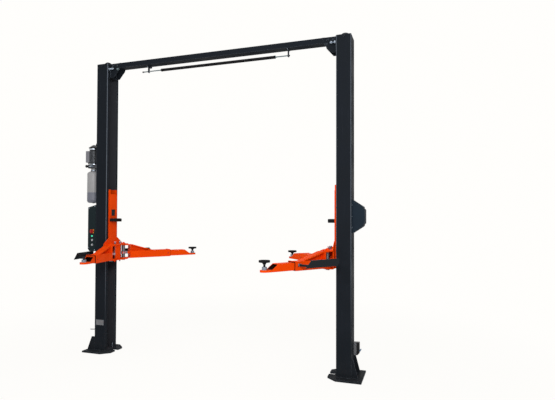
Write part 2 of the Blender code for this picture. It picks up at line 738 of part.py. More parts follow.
def make_carriage(name, station):
    """A carriage: channel, slide blocks, flared foot, clevis plates and arm pins."""
    half, wall, foot = CARRIAGE_WIDTH / 2, CARRIAGE_WALL, CARRIAGE_FOOT
    face, back = CARRIAGE_FACE, COLUMN_OUTER - CARRIAGE_BACK
    cheek = COLUMN_WIDTH / 2 - COLUMN_LIP - wall - SLIDE_GAP
    top = foot + CARRIAGE_HEIGHT
    carriage = box("carriage_" + name, (face, -half, foot), (face + wall, half, top), station)
    inner = COLUMN_FACE + COLUMN_WALL + SLIDE_GAP
    outer = COLUMN_OUTER - COLUMN_WALL - SLIDE_GAP
    rub = COLUMN_WIDTH / 2 - COLUMN_WALL - SLIDE_GAP
    for end in (FRONT, BACK):
        low, high = across(end, cheek - wall, cheek)
        fuse(carriage, box(f"carriage_cheek_{name}_{end}", (face + WELD, low, foot),
                           (back, high, foot + CHEEK_HEIGHT), station))
        low, high = across(end, cheek - WELD, rub)
        for tag, rise in (("low", foot + SLIDE_INSET), ("high", top - SLIDE_LENGTH - SLIDE_INSET)):
            block = box(f"slide_{tag}_{name}_{end}", (inner, low, rise), (outer, high, rise + SLIDE_LENGTH),
                        station)
            trim = block.modifiers.new("corner", "BEVEL")
            trim.width = COLUMN_BEND - COLUMN_WALL + WELD
            trim.segments = 1
            fuse(carriage, block)
    step = CLEVIS_TOP + FLARE_STEP
    peak = foot + FLARE_RISE
    flare = [(-FLARE_HALF, CLEVIS_TOP - WELD), (FLARE_HALF, CLEVIS_TOP - WELD), (FLARE_HALF, step),
             (half - WELD, peak), (-half + WELD, peak), (-FLARE_HALF, step)]
    fuse(carriage, plate("flare_" + name, flare, face - WELD * 2, face + wall - WELD, "x", station))
    corner = CLEVIS_CORNER
    nose = PIVOT_OUT - CLEVIS_NOSE
    clevis = [(face + wall - WELD, -CLEVIS_HALF), (face + wall - WELD, CLEVIS_HALF),
              (nose + corner, CLEVIS_HALF), (nose, CLEVIS_HALF - corner),
              (nose, -CLEVIS_HALF + corner), (nose + corner, -CLEVIS_HALF)]
    for tag, rise in (("top", CLEVIS_TOP - CLEVIS_THICK), ("bottom", foot)):
        fuse(carriage, plate(f"clevis_{tag}_{name}", clevis, rise, rise + CLEVIS_THICK, "z", station))
    fuse(carriage, box("centre_web_" + name, (nose + CENTRE_WEB / 2, -CENTRE_WEB / 2, foot + WELD),
                       (face + WELD, CENTRE_WEB / 2, CLEVIS_TOP - WELD), station))
    for end in (FRONT, BACK):
        spot = (PIVOT_OUT, end * PIVOT_SPREAD)
        fuse(carriage,
             rod(f"arm_pin_{name}_{end}", (*spot, foot - PIN_PROUD * 2), (*spot, CLEVIS_TOP + PIN_PROUD),
                 PIN_RADIUS - SEAT, sides=16, parent=station),
             hexagon(f"pin_nut_{name}_{end}", (*spot, CLEVIS_TOP), (*spot, CLEVIS_TOP + PIN_PROUD * 3),
                     PIN_RADIUS / 2, station))
        bolt = (end * FLARE_BOLT_SPREAD, foot + FLARE_BOLT_RISE)
        fuse(carriage, hexagon(f"flare_bolt_{name}_{end}", (face, *bolt), (face - NUT_RISE / 2, *bolt),
                               FLARE_BOLT_RADIUS, station))
    cut(carriage, box("window_" + name, (face - wall, -WINDOW_WIDTH / 2, foot + WINDOW_RISE),
                      (face + wall * 2, WINDOW_WIDTH / 2, foot + WINDOW_RISE + WINDOW_HEIGHT), station))
    for end in (FRONT, BACK):
        spot = (PIVOT_OUT, end * LOCK_SPREAD)
        for tag, rise in (("top", CLEVIS_TOP), ("bottom", foot + CLEVIS_THICK)):
            cut(carriage, rod(f"lock_bore_{tag}_{name}_{end}", (*spot, rise - CLEVIS_THICK * 1.5),
                              (*spot, rise + CLEVIS_THICK / 2), LOCK_RADIUS + PIN_GAP, sides=16, parent=station))
    finish(carriage, "arm_paint")
    level = foot + BUFFER_RISE
    front = face - SEAT
    buffer = box("door_buffer_" + name, (front - BUFFER_DEPTH, -BUFFER_WIDTH / 2, level - BUFFER_TALL / 2),
                 (front, BUFFER_WIDTH / 2, level + BUFFER_TALL / 2), station)
    soften = buffer.modifiers.new("edges", "BEVEL")
    soften.width = BUFFER_TALL / 5
    soften.segments = 2
    finish(buffer, "black_rubber")


def make_lock(name, end, station):
    """An arm lock: the shaft that stands in the clevis, its block and its pull knob."""
    spot = (PIVOT_OUT, end * LOCK_SPREAD)
    low, high = CARRIAGE_FOOT - LOCK_DROP, CLEVIS_TOP + LOCK_RISE
    level = ARM_FOOT + GEAR_RISE
    lock = rod("arm_lock_" + name, (*spot, low), (*spot, high), LOCK_RADIUS, sides=12, parent=station)
    fuse(lock,
         rod("lock_block_" + name, (*spot, level), (*spot, level + GEAR_THICK), LOCK_BLOCK, sides=16,
             parent=station),
         rod("lock_knob_" + name, (*spot, high - LOCK_RADIUS), (*spot, high + LOCK_RADIUS / 2), LOCK_RADIUS * 1.8,
             sides=16, parent=station))
    return finish(lock, "bare_steel", 30)


def box_section(name, start, end, width, foot, height, wall, parent):
    """A hollow rectangular tube along X, open at both ends."""
    tube = box(name, (start, -width / 2, foot), (end, width / 2, foot + height), parent)
    hollow = box(name + "_hollow", (start - wall, -width / 2 + wall, foot + wall),
                 (end + wall, width / 2 - wall, foot + height - wall), parent)
    return cut(tube, hollow)


def gear_outline(root, tooth, teeth):
    """The outline of a toothed disc round the origin."""
    points = []
    for i in range(teeth):
        for share, radius in ((0.0, root), (0.3, root + tooth), (0.6, root + tooth)):
            angle = math.tau * (i + share) / teeth
            points.append((radius * math.cos(angle), radius * math.sin(angle)))
    return points


def make_outer_arm(name, pivot, end):
    """A swing arm's outer tube, with its lugs, gear, end plate, strap and collar."""
    length = OUTER_LENGTH[end]
    half, top = ARM_WIDTH / 2, ARM_FOOT + ARM_HEIGHT
    arm = box_section("outer_arm_" + name, ARM_START, length, ARM_WIDTH, ARM_FOOT, ARM_HEIGHT, ARM_WALL,
                      pivot)
    root = ARM_START + END_PLATE / 2
    fuse(arm, box("end_plate_" + name, (ARM_START - WELD, -half, ARM_FOOT),
                  (ARM_START + END_PLATE, half, ARM_HEAD), pivot))
    lug = [(root, -LUG_RADIUS), (root, LUG_RADIUS)]
    lug += arc((0, 0), LUG_RADIUS, 90, 270, 8)
    for tag, foot in (("low", ARM_FOOT), ("high", ARM_HEAD - LUG_THICK)):
        fuse(arm, plate(f"lug_{tag}_{name}", lug, foot, foot + LUG_THICK, "z", pivot))
    level = ARM_FOOT + GEAR_RISE
    fuse(arm, plate("gear_" + name, gear_outline(GEAR_RADIUS, GEAR_TOOTH, GEAR_TEETH), level,
                    level + GEAR_THICK, "z", pivot),
         box("gear_neck_" + name, (PIN_RADIUS * 1.5, -PIN_RADIUS * 1.5, level + WELD),
             (root, PIN_RADIUS * 1.5, level + GEAR_THICK - WELD), pivot))
    strap = [(ARM_START + WELD, ARM_HEAD), (ARM_START + WELD, ARM_HEAD - STRAP_THICK),
             (STRAP_END - BRACE_WIDTH, top - WELD), (STRAP_END + STRAP_THICK, top - WELD),
             (ARM_START + BRACE_WIDTH, ARM_HEAD)]
    fuse(arm, plate("strap_" + name, strap, -STRAP_WIDTH / 2, STRAP_WIDTH / 2, "y", pivot))
    web = [(ARM_START + WELD, ARM_HEAD - WELD), (ARM_START + WELD, top - WELD), (STRAP_END, top - WELD)]
    fuse(arm, plate("strap_web_" + name, web, -STRAP_WEB / 2, STRAP_WEB / 2, "y", pivot))
    skin = ARM_WALL / 2
    collar = box("collar_" + name, (length - COLLAR_LENGTH, -half - COLLAR_RISE, ARM_FOOT + skin / 2),
                 (length + skin, half + COLLAR_RISE, top + COLLAR_RISE), pivot)
    cut(collar, box(f"collar_{name}_hollow", (length - COLLAR_LENGTH * 1.5, -half + skin, ARM_FOOT + skin),
                    (length + COLLAR_LENGTH, half - skin, top - skin), pivot))
    fuse(arm, collar)
    for side in (-1, 1):
        spot = length - STOP_INSET
        level = ARM_FOOT + ARM_HEIGHT / 2
        fuse(arm, hexagon(f"stop_bolt_{name}_{side}", (spot, side * (half - WELD), level),
                          (spot, side * (half + STOP_RADIUS * 0.7), level), STOP_RADIUS, pivot))
    cut(arm, rod("lug_bore_" + name, (0, 0, ARM_FOOT - LUG_THICK), (0, 0, ARM_HEAD + LUG_THICK),
                 PIN_RADIUS + PIN_GAP, sides=16, parent=pivot))
    return finish(arm, "arm_paint")


def make_inner_arm(name, pivot, end, reach):
    """The tube that slides in the outer arm, with the plate that holds the pad's screw."""
    width = ARM_WIDTH - 2 * (ARM_WALL + INNER_SIDE_GAP)
    foot, top = INNER_FOOT, INNER_FOOT + INNER_HEIGHT
    arm = box_section("inner_arm_" + name, reach - INNER_LENGTH[end], reach - SLANT_LOW, width, foot,
                      INNER_HEIGHT, INNER_WALL, pivot)
    over = top + TIP_THICK
    slant = [(reach - SLANT_HIGH, over), (reach - SLANT_HIGH, top), (reach - SLANT_LOW, foot + TIP_THICK),
             (reach, foot + TIP_THICK), (reach, over)]
    cut(arm, plate("slant_" + name, slant, -width, width, "y", pivot))
    outline = [(reach - SLANT_HIGH, -width / 2), (reach - TIP_HEEL, -width / 2)]
    outline += arc((reach, 0), TIP_RADIUS, -90, 90, 10)
    outline += [(reach - TIP_HEEL, width / 2), (reach - SLANT_HIGH, width / 2)]
    fuse(arm, plate("tip_" + name, outline, foot, foot + TIP_THICK, "z", pivot))
    cut(arm, rod("tip_bore_" + name, (reach, 0, foot - TIP_THICK), (reach, 0, foot + TIP_THICK * 2),
                 SLEEVE_RADIUS + PIN_GAP, sides=20, parent=pivot))
    return finish(arm, "arm_paint")


def make_pad(name, pivot, reach, lift):
    """A round rubber pad on its screw and sleeve."""
    base = INNER_FOOT + TIP_THICK / 2 + lift - PAD_THICK / 2
    rim, lip = PAD_THICK / 6, PAD_THICK / 4
    shoulder = INNER_FOOT + TIP_THICK + SLEEVE_RISE
    profile = [(0, base + PAD_THICK), (PAD_RADIUS - rim, base + PAD_THICK), (PAD_RADIUS, base + PAD_THICK - rim),
               (PAD_RADIUS, base + lip), (PAD_RADIUS - lip, base), (STEM_RADIUS * 1.5, base),
               (STEM_RADIUS, base - STEM_RADIUS), (STEM_RADIUS, shoulder), (SLEEVE_RADIUS, shoulder),
               (SLEEVE_RADIUS, INNER_FOOT), (0, INNER_FOOT)]
    pad = settle(turned("pad_" + name, profile, 20, pivot))
    pad.location = (reach, 0, 0)
    return finish(pad, "black_rubber", 30)


def make_guard(name, pivot, end, out):
    """The toe guard that runs beside an arm on the side away from the vehicle."""
    foot = ARM_FOOT + GUARD_LIFT
    top = foot + GUARD_HEIGHT
    near, far = GUARD_OFFSET, GUARD_OFFSET + GUARD_FLANGE
    start, stop = GUARD_START, GUARD_START + GUARD_LENGTH
    outline = [(start, foot + GUARD_HEEL), (start + GUARD_HEEL, foot), (stop + GUARD_NOSE, foot),
               (stop + GUARD_NOSE, foot + GUARD_WALL), (stop, top), (start, top)]
    low, high = across(out, far - GUARD_WALL, far)
    guard = plate("toe_guard_" + name, outline, low, high, "y", pivot)
    low, high = across(out, near, far)
    fuse(guard, box("guard_flange_" + name, (start, low, top - GUARD_WALL), (stop, high, top), pivot))
    low, high = across(out, ARM_WIDTH / 2 + SEAT, far - WELD)
    fuse(guard, box("guard_brace_" + name, (BRACE_START, low, foot), (BRACE_START + BRACE_WIDTH, high,
                                                                    foot + BRACE_THICK), pivot))
    heel = min(OUTER_LENGTH[end] - STOP_INSET - STOP_RADIUS * 1.5, stop + STAY_LENGTH)
    stay = [(stop - BRACE_WIDTH, out * (far - WELD)), (stop, out * (far - WELD)),
            (heel, out * (ARM_WIDTH / 2 + SEAT)), (heel - STAY_HEIGHT, out * (ARM_WIDTH / 2 + SEAT))]
    fuse(guard, plate("guard_stay_" + name, stay, foot + BRACE_THICK, foot + BRACE_THICK + STAY_HEIGHT,
                      "z", pivot))
    return finish(guard, "guard_paint")


# Lifting cylinders


def make_cylinder(name, station):
    """The cylinder that stands in a column, and the ram with its chain roller."""
    out = CYLINDER_OUT
    barrel = rod("cylinder_" + name, (out, 0, PLATE_THICK + SEAT), (out, 0, CYLINDER_TOP),
                 CYLINDER_RADIUS, sides=24, parent=station)
    low, high = CYLINDER_TOP - GLAND_LENGTH, CYLINDER_TOP + GLAND_LENGTH
    fuse(barrel, rod("gland_" + name, (out, 0, low), (out, 0, CYLINDER_TOP + GLAND_LENGTH / 4),
                     CYLINDER_RADIUS + GLAND_PROUD, sides=24, parent=station))
    cut(barrel,
        rod("cylinder_bore_" + name, (out, 0, BORE_BOTTOM), (out, 0, CYLINDER_TOP - GLAND_LENGTH / 2),
            BORE_RADIUS, sides=24, parent=station),
        rod("gland_bore_" + name, (out, 0, low), (out, 0, high), ROD_RADIUS + PIN_GAP, sides=24,
            parent=station))
    finish(barrel, "column_paint", 30)
    ram = rod("ram_" + name, (out, 0, ROD_BOTTOM), (out, 0, ROD_TOP), ROD_RADIUS, sides=24, parent=station)
    deep, wide = YOKE_DEPTH / 2, YOKE_WIDTH / 2
    middle = ROD_TOP + YOKE_TALL + ROLLER_RADIUS / 2
    reach = wide * 2 / 3
    fuse(ram, box("yoke_" + name, (out - deep, -wide, ROD_TOP - WELD), (out + deep, wide, ROD_TOP + YOKE_TALL),
                  station),
         rod("roller_" + name, (out, -reach, middle), (out, reach, middle), ROLLER_RADIUS, sides=24,
             parent=station))
    finish(ram, "bare_steel", 30)


# Power unit and controls on the left column


def make_tank(station):
    """The moulded oil tank with its neck."""
    low, high, wide = TANK_BOTTOM, TANK_TOP, TANK_RADIUS
    round_off = TANK_SHOULDER / 4
    profile = [(0, high + NECK_HEIGHT), (NECK_RADIUS, high + NECK_HEIGHT), (NECK_RADIUS, high),
               (wide - TANK_SHOULDER, high - round_off), (wide - round_off, high - TANK_SHOULDER + round_off),
               (wide, high - TANK_SHOULDER - round_off), (wide, low + TANK_SHOULDER),
               (wide - round_off, low + round_off), (wide - TANK_SHOULDER, low), (0, low)]
    tank = settle(turned("oil_tank", profile, 24, station))
    tank.location = (UNIT_OUT, 0, 0)
    finish(tank, "tank_plastic", 40)


def make_motor(station):
    """The valve block on the column, the motor with its cap, and the terminal box."""
    foot, half = BLOCK_FOOT, BLOCK_WIDTH / 2
    top = foot + BLOCK_HEIGHT
    wall = COLUMN_OUTER + SEAT
    block = box("valve_block", (wall, -half, foot), (UNIT_OUT + BLOCK_PROUD, half, top), station)
    port = (UNIT_OUT + NECK_RADIUS / 2, foot + BLOCK_HEIGHT / 2)
    fuse(block,
         box("unit_bracket", (wall, -half - COLUMN_BEND, foot - BLOCK_HEIGHT),
             (wall + COLUMN_WALL, half + COLUMN_BEND, top + BLOCK_HEIGHT), station),
         hexagon("hose_fitting", (port[0], -half + WELD, port[1]), (port[0], -half - PORT_LENGTH / 2, port[1]),
                 HOSE_RADIUS + PORT_WALL, station))
    finish(block, "bare_steel")
    seat = top + SEAT
    body = seat + MOTOR_HEIGHT
    peak = body + COLLAR_BAND + CAP_HEIGHT
    rim, band = MOTOR_RIM, MOTOR_RIM * 2
    waist = MOTOR_RADIUS - rim * 3
    brim = peak - CAP_HEIGHT
    profile = [(0, peak), (CAP_RADIUS / 4, peak), (CAP_RADIUS, brim + rim), (CAP_RADIUS, brim),
               (MOTOR_RADIUS, brim), (waist, body), (MOTOR_RADIUS, body), (MOTOR_RADIUS, body - band),
               (MOTOR_RADIUS - rim, body - band - rim), (MOTOR_RADIUS - rim, seat + band + rim),
               (MOTOR_RADIUS, seat + band), (MOTOR_RADIUS, seat), (0, seat)]
    motor = settle(turned("pump_motor", profile, 24, station))
    motor.location = (UNIT_OUT, 0, 0)
    finish(motor, "guard_paint", 30)
    low = seat + TERMINAL_RISE
    shell = MOTOR_RADIUS - rim
    start = UNIT_OUT + shell - TERMINAL_BITE
    terminal = box("terminal_box", (start, -TERMINAL_WIDTH / 2, low),
                   (start + TERMINAL_DEPTH, TERMINAL_WIDTH / 2, low + TERMINAL_TALL), station)
    cut(terminal, rod("motor_clearance", (UNIT_OUT, 0, low - rim), (UNIT_OUT, 0, low + TERMINAL_TALL + rim),
                      shell + SEAT, sides=24, parent=station))
    finish(terminal, "light_box")


def make_lever(station):
    """The lowering lever with its ball, pivoted on the valve block's front."""
    half = BLOCK_WIDTH / 2
    height = BLOCK_FOOT + BLOCK_HEIGHT / 2
    out = UNIT_OUT
    lever = rod("lowering_lever", (out, half + SEAT, height), (out, half + LEVER_HUB * 1.6, height),
                LEVER_HUB, sides=16, parent=station)
    tip = (out + LEVER_LENGTH, half + LEVER_HUB, height)
    fuse(lever, rod("lever_stick", (out, half + LEVER_HUB, height), tip, LEVER_RADIUS, sides=10, parent=station))
    ball = bpy.data.meshes.new("lever_ball")
    shape = bmesh.new()
    bmesh.ops.create_uvsphere(shape, u_segments=14, v_segments=8, radius=KNOB_BALL)
    bmesh.ops.translate(shape, vec=(tip[0], half + KNOB_BALL + LEVER_RADIUS, tip[2]), verts=shape.verts)
    shape.to_mesh(ball)
    shape.free()
    fuse(lever, add_object("lever_ball", ball, station))
    return finish(lever, "black_rubber", 30)


def make_hose(station):
    """The pressure hose from the valve block up to the head of the column."""
    half = BLOCK_WIDTH / 2
    port = UNIT_OUT + NECK_RADIUS / 2
    level = BLOCK_FOOT + BLOCK_HEIGHT / 2
    start = -half - PORT_LENGTH / 2 - SEAT
    back = -COLUMN_WIDTH / 2 - HOSE_RADIUS - HOSE_CLEAR
    route = [(port, start, level), (port, start - 0.042, level), (port + 0.010, start - 0.056, level + 0.026),
             (port + 0.045, start - 0.056, level + 0.110), (port + 0.066, start - 0.056, level + 0.220),
             (port + 0.050, back - 0.004, level + 0.330), (port - 0.030, back - 0.006, level + 0.400),
             (HOSE_OUT + 0.055, back - 0.008, level + 0.450), (HOSE_OUT + 0.010, back - 0.003, level + 0.560),
             (HOSE_OUT, back, level + 0.760), (HOSE_OUT, back, HOSE_PORT - 0.200),
             (HOSE_OUT, back, HOSE_PORT - 0.100), (HOSE_OUT, back, HOSE_PORT - SEAT)]
    curve = bpy.data.curves.new("pressure_hose", "CURVE")
    curve.dimensions = "3D"
    curve.bevel_depth = HOSE_RADIUS
    curve.bevel_resolution = 2
    curve.use_fill_caps = True
    spline = curve.splines.new("POLY")
    points = smooth_route(route, 36)
    spline.points.add(len(points) - 1)
    for point, spot in zip(spline.points, points):
        point.co = (*spot, 1)
    hose = bpy.data.objects.new("pressure_hose", curve)
    bpy.data.collections["two_post_car_lift"].objects.link(hose)
    hose.parent = station
    curve.materials.append(material("black_rubber"))


def smooth_route(route, count):
    """Points spread evenly along a smooth curve through the route's own points."""
    spots = [Vector(spot) for spot in route]
    spots = [2 * spots[0] - spots[1]] + spots + [2 * spots[-1] - spots[-2]]
    fine = []
    for a, b, c, d in zip(spots, spots[1:], spots[2:], spots[3:]):
        for k in range(16):
            t = k / 16
            fine.append(0.5 * (2 * b + (c - a) * t + (2 * a - 5 * b + 4 * c - d) * t * t
                               + (3 * b - a - 3 * c + d) * t ** 3))
    fine.append(spots[-2])
    lengths = [0.0]
    for a, b in zip(fine, fine[1:]):
        lengths.append(lengths[-1] + (b - a).length)
    out, k = [], 0
    for i in range(count):
        want = lengths[-1] * i / (count - 1)
        while k < len(fine) - 2 and lengths[k + 1] < want:
            k += 1
        share = (want - lengths[k]) / (lengths[k + 1] - lengths[k])
        out.append(tuple(fine[k].lerp(fine[k + 1], share)))
    return out


def make_controls(station):
    """The moulded control box with its isolator, lamp and push buttons on the front."""
    inner, outer = COLUMN_OUTER + SEAT, COLUMN_OUTER + BOX_DEPTH
    front = COLUMN_WIDTH / 2
    outline = [(inner, BOX_BOTTOM), (outer - BOX_FOOT_INSET, BOX_BOTTOM), (outer, BOX_BOTTOM + BOX_FOOT_RISE),
               (outer, BOX_TOP - BOX_TOP_FALL), (inner, BOX_TOP)]
    control = plate("control_box", outline, front - BOX_WIDTH, front, "y", station)
    lamp = BOX_BOTTOM + LAMP_RISE
    fuse(control, rod("lamp_boss", (PANEL_OUT, front - WELD, lamp), (PANEL_OUT, front + RING_PROUD, lamp),
                      BUTTON_RADIUS + RING_WIDTH / 2, sides=20, parent=station))
    for tag, rise in (("up", UP_RISE), ("down", DOWN_RISE)):
        height = BOX_BOTTOM + rise
        fuse(control, rod("button_ring_" + tag, (PANEL_OUT, front - WELD, height),
                          (PANEL_OUT, front + RING_PROUD, height), BUTTON_RADIUS + RING_WIDTH, sides=20,
                          parent=station))
        cut(control, rod("button_well_" + tag, (PANEL_OUT, front - WELL_DEPTH, height),
                         (PANEL_OUT, front + WELL_DEPTH, height), BUTTON_RADIUS + PIN_GAP, sides=20,
                         parent=station))
        button = rod("button_" + tag, (PANEL_OUT, front - WELL_DEPTH / 2, height),
                     (PANEL_OUT, front + WELL_DEPTH, height), BUTTON_RADIUS, sides=20, parent=station)
        finish(button, "button_grey", 30)
    finish(control, "box_plastic")
    height = BOX_BOTTOM + KNOB_RISE
    half = SHIELD_HALF
    shield = box("isolator_plate", (PANEL_OUT - half, front + SEAT, height - half),
                 (PANEL_OUT + half, front + SHIELD_THICK, height + half), station)
    finish(shield, "yellow_plate")
    start = front + SHIELD_THICK + SEAT
    knob = rod("isolator_knob", (PANEL_OUT, start, height), (PANEL_OUT, start + KNOB_DEPTH, height),
               KNOB_RADIUS, KNOB_RADIUS * 0.9, 24, station)
    grip = KNOB_RADIUS * 0.95
    fuse(knob, box("knob_grip", (PANEL_OUT - GRIP_HALF, start + KNOB_DEPTH / 2, height - grip),
                   (PANEL_OUT + GRIP_HALF, start + KNOB_DEPTH + GRIP_DEPTH, height + grip), station))
    finish(knob, "red_plastic")


def make_blank(station):
    """The small bare plate on the front of the left column."""
    front = COLUMN_WIDTH / 2 + SEAT
    end = COLUMN_OUTER - BLANK_INSET
    blank = box("blank_plate", (end - BLANK_WIDTH, front, BLANK_BOTTOM),
                (end, front + BLANK_THICK, BLANK_BOTTOM + BLANK_HEIGHT), station)
    return finish(blank, "light_box")


def make_lock_cover(station):
    """The stepped cover of the safety lock on the right column's outer face."""
    inner, outer = COLUMN_OUTER + SEAT, COLUMN_OUTER + COVER_DEPTH
    low, high = COVER_BOTTOM, COVER_BOTTOM + COVER_HEIGHT
    step = COVER_STEP
    outline = [(inner, low), (outer - step, low + step * 5), (outer - step, low + step * 6),
               (outer, low + step * 7), (outer, high - step * 7), (outer - step, high - step * 6),
               (outer - step, high - step * 5), (inner, high)]
    cover = plate("lock_cover", outline, -COVER_WIDTH / 2, COVER_WIDTH / 2, "y", station)
    return finish(cover, "box_plastic")


def make_foot_box(station):
    """The small housing low on the right column's outer face."""
    inner, outer = COLUMN_OUTER + SEAT, COLUMN_OUTER + FOOT_DEPTH
    low, high = FOOT_BOTTOM, FOOT_BOTTOM + FOOT_HEIGHT
    outline = [(inner, low), (outer - FOOT_SLOPE, low), (outer, low + FOOT_SLOPE), (outer, high), (inner, high)]
    back = COLUMN_WIDTH / 2 - FOOT_INSET
    middle = back - FOOT_WIDTH / 2
    foot = plate("foot_box", outline, back - FOOT_WIDTH, back, "y", station)
    stem = (outer - WELD, middle, low + FOOT_SLOPE * 1.5)
    tip = (outer + FOOT_SLOPE * 0.8, middle, low + FOOT_SLOPE * 3)
    fuse(foot, rod("foot_lever", stem, tip, FOOT_SLOPE / 4, sides=10, parent=station))
    return finish(foot, "light_box")


def main():
    """Build the lift."""
    clear_scene()
    stations = {}
    for name, side in SIDES.items():
        station = empty("station_" + name, (MID_X, 0, 0), 0 if side == RIGHT else math.pi)
        stations[side] = station
        make_base(name, station)
        make_column(side, name, station)
        make_sheave(name, station)
        make_bracket(name, station)
        make_cylinder(name, station)
        make_carriage(name, station)
    make_beam()
    make_hangers(stations[RIGHT], stations[LEFT])
    make_bar()
    for name, (side, end, swing, reach, lift) in ARMS.items():
        angle = math.radians(swing)
        heading = math.atan2(end * math.cos(angle), -side * math.sin(angle))
        pivot = empty("pivot_" + name, (MID_X + side * PIVOT_OUT, end * PIVOT_SPREAD, 0), heading)
        make_outer_arm(name, pivot, end)
        make_inner_arm(name, pivot, end, reach)
        make_pad(name, pivot, reach, lift)
        make_guard(name, pivot, end, -side * end)
        make_lock(name, side * end, stations[side])
    make_tank(stations[LEFT])
    make_motor(stations[LEFT])
    make_lever(stations[LEFT])
    make_hose(stations[LEFT])
    make_controls(stations[LEFT])
    make_blank(stations[LEFT])
    make_lock_cover(stations[RIGHT])
    make_foot_box(stations[RIGHT])


main()
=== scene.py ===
"""Looks of the two post car lift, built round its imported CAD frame.

The finishes come first, then the sizes that the sub-assemblies share, the mesh helpers, the
studio and one class for each sub-assembly, which holds its own sizes and lists its small pieces.
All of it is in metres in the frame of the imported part: X runs from the left column to the right
one and Z is up.
"""

import logging
import math
from abc import ABC, abstractmethod
from dataclasses import dataclass
from enum import Enum
from functools import partial
from itertools import product
from typing import Callable, ClassVar, Sequence

import bmesh
import bpy
from mathutils import Matrix, Vector


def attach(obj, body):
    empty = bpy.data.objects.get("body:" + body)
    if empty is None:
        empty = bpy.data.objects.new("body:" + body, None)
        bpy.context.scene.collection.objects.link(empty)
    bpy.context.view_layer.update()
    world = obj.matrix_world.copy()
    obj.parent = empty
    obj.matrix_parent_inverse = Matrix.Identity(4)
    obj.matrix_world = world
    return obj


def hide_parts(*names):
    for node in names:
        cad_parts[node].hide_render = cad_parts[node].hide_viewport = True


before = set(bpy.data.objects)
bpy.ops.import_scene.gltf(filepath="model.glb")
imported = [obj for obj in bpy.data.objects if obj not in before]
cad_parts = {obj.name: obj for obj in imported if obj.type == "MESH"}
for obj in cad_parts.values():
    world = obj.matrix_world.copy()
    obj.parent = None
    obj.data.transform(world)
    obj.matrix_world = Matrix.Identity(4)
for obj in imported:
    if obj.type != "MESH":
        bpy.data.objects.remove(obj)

LOG = logging.getLogger("two_post_car_lift")
Colour = tuple[float, float, float]
Point = tuple[float, float, float]
Profile = Sequence[tuple[float, float]]
Socket = bpy.types.NodeSocket
BOTH = (-1.0, 1.0)
HEXAGON = 6
ORIGIN: Point = (0.0, 0.0, 0.0)
UP: Point = (0.0, 0.0, 1.0)
DOWN: Point = (0.0, 0.0, -1.0)
ASIDE: Point = (0.0, 1.0, 0.0)
INWARD: Point = (-1.0, 0.0, 0.0)
OUTWARD: Point = (1.0, 0.0, 0.0)


class Side(Enum):
    """The two columns."""

    LEFT = "left"
    RIGHT = "right"


class End(Enum):
    """The side of a carriage that an arm is on."""

    FRONT = "front"
    BACK = "back"


def srgb(red: int, green: int, blue: int) -> Colour:
    """Turn a screen colour into the linear one that a shader takes.

    Args:
        red: Red from 0 to 255.
        green: Green from 0 to 255.
        blue: Blue from 0 to 255.

    Returns:
        The three linear values.
    """
    out = []
    for part in (red, green, blue):
        share = part / 255
        out.append(share / 12.92 if share <= 0.04045 else ((share + 0.055) / 1.055) ** 2.4)
    return tuple(out)


# Shader wiring


@dataclass
class Wiring:
    """Adds and links the nodes of one shader tree."""

    tree: bpy.types.NodeTree

    def add(self, kind: str, **settings: object) -> bpy.types.Node:
        """Add a node and set its own options.

        Args:
            kind: The node's type, without the ShaderNode that it begins with.
            settings: Options of the node by name.

        Returns:
            The new node.
        """
        node = self.tree.nodes.new("ShaderNode" + kind)
        for name, value in settings.items():
            setattr(node, name, value)
        return node

    def link(self, source: Socket, target: Socket) -> None:
        """Join an output to an input."""
        self.tree.links.new(source, target)

    def feed(self, value: object, target: Socket) -> None:
        """Give an input a link or a plain value."""
        if isinstance(value, Socket):
            self.link(value, target)
        else:
            target.default_value = value

    def math(self, operation: str, first: object, second: object = 0.0, clamp: bool = False
             ) -> Socket:
        """A Math node's result.

        Args:
            operation: The name of the operation.
            first: A socket or a number.
            second: A socket or a number.
            clamp: Whether the result is kept from 0 to 1.

        Returns:
            The result's socket.
        """
        node = self.add("Math", operation=operation, use_clamp=clamp)
        self.feed(first, node.inputs[0])
        self.feed(second, node.inputs[1])
        return node.outputs[0]

    def times(self, first: object, second: object, clamp: bool = False) -> Socket:
        """The product of two values."""
        return self.math("MULTIPLY", first, second, clamp)

    def place(self) -> Socket:
        """The point that is shaded, in the object's own frame."""
        return self.add("TexCoord").outputs["Object"]

    def axes(self, vector: Socket) -> bpy.types.bpy_prop_collection:
        """The X, Y and Z of a vector, as outputs by name."""
        node = self.add("SeparateXYZ")
        self.link(vector, node.inputs[0])
        return node.outputs

    def spread(self, value: Socket, low: float, high: float, to_low: float = 0.0,
               to_high: float = 1.0) -> Socket:
        """Map a range of values to another one, clamped, with soft ends."""
        node = self.add("MapRange", interpolation_type="SMOOTHSTEP")
        self.link(value, node.inputs["Value"])
        ends = {"From Min": low, "From Max": high, "To Min": to_low, "To Max": to_high}
        for name, number in ends.items():
            node.inputs[name].default_value = number
        return node.outputs["Result"]

    def mix(self, share: object, first: object, second: object, blend: str = "MIX") -> Socket:
        """Mix two colours.

        Args:
            share: How much of the second colour shows, as a socket or a number.
            first: The colour under it, as a socket or three numbers.
            second: The colour over it, as a socket or three numbers.
            blend: The name of the way that they are mixed.

        Returns:
            The mixed colour's socket.
        """
        node = self.add("Mix", data_type="RGBA", blend_type=blend)
        self.feed(share, node.inputs[0])
        for value, target in ((first, node.inputs[6]), (second, node.inputs[7])):
            self.feed(value if isinstance(value, Socket) else (*value, 1.0), target)
        return node.outputs[2]

    def noise(self, place: Socket, scale: object, detail: float = 4.0,
              roughness: float = 0.55) -> Socket:
        """A noise texture's value."""
        node = self.add("TexNoise")
        self.link(place, node.inputs["Vector"])
        self.feed(scale, node.inputs["Scale"])
        node.inputs["Detail"].default_value = detail
        node.inputs["Roughness"].default_value = roughness
        return node.outputs["Fac"]


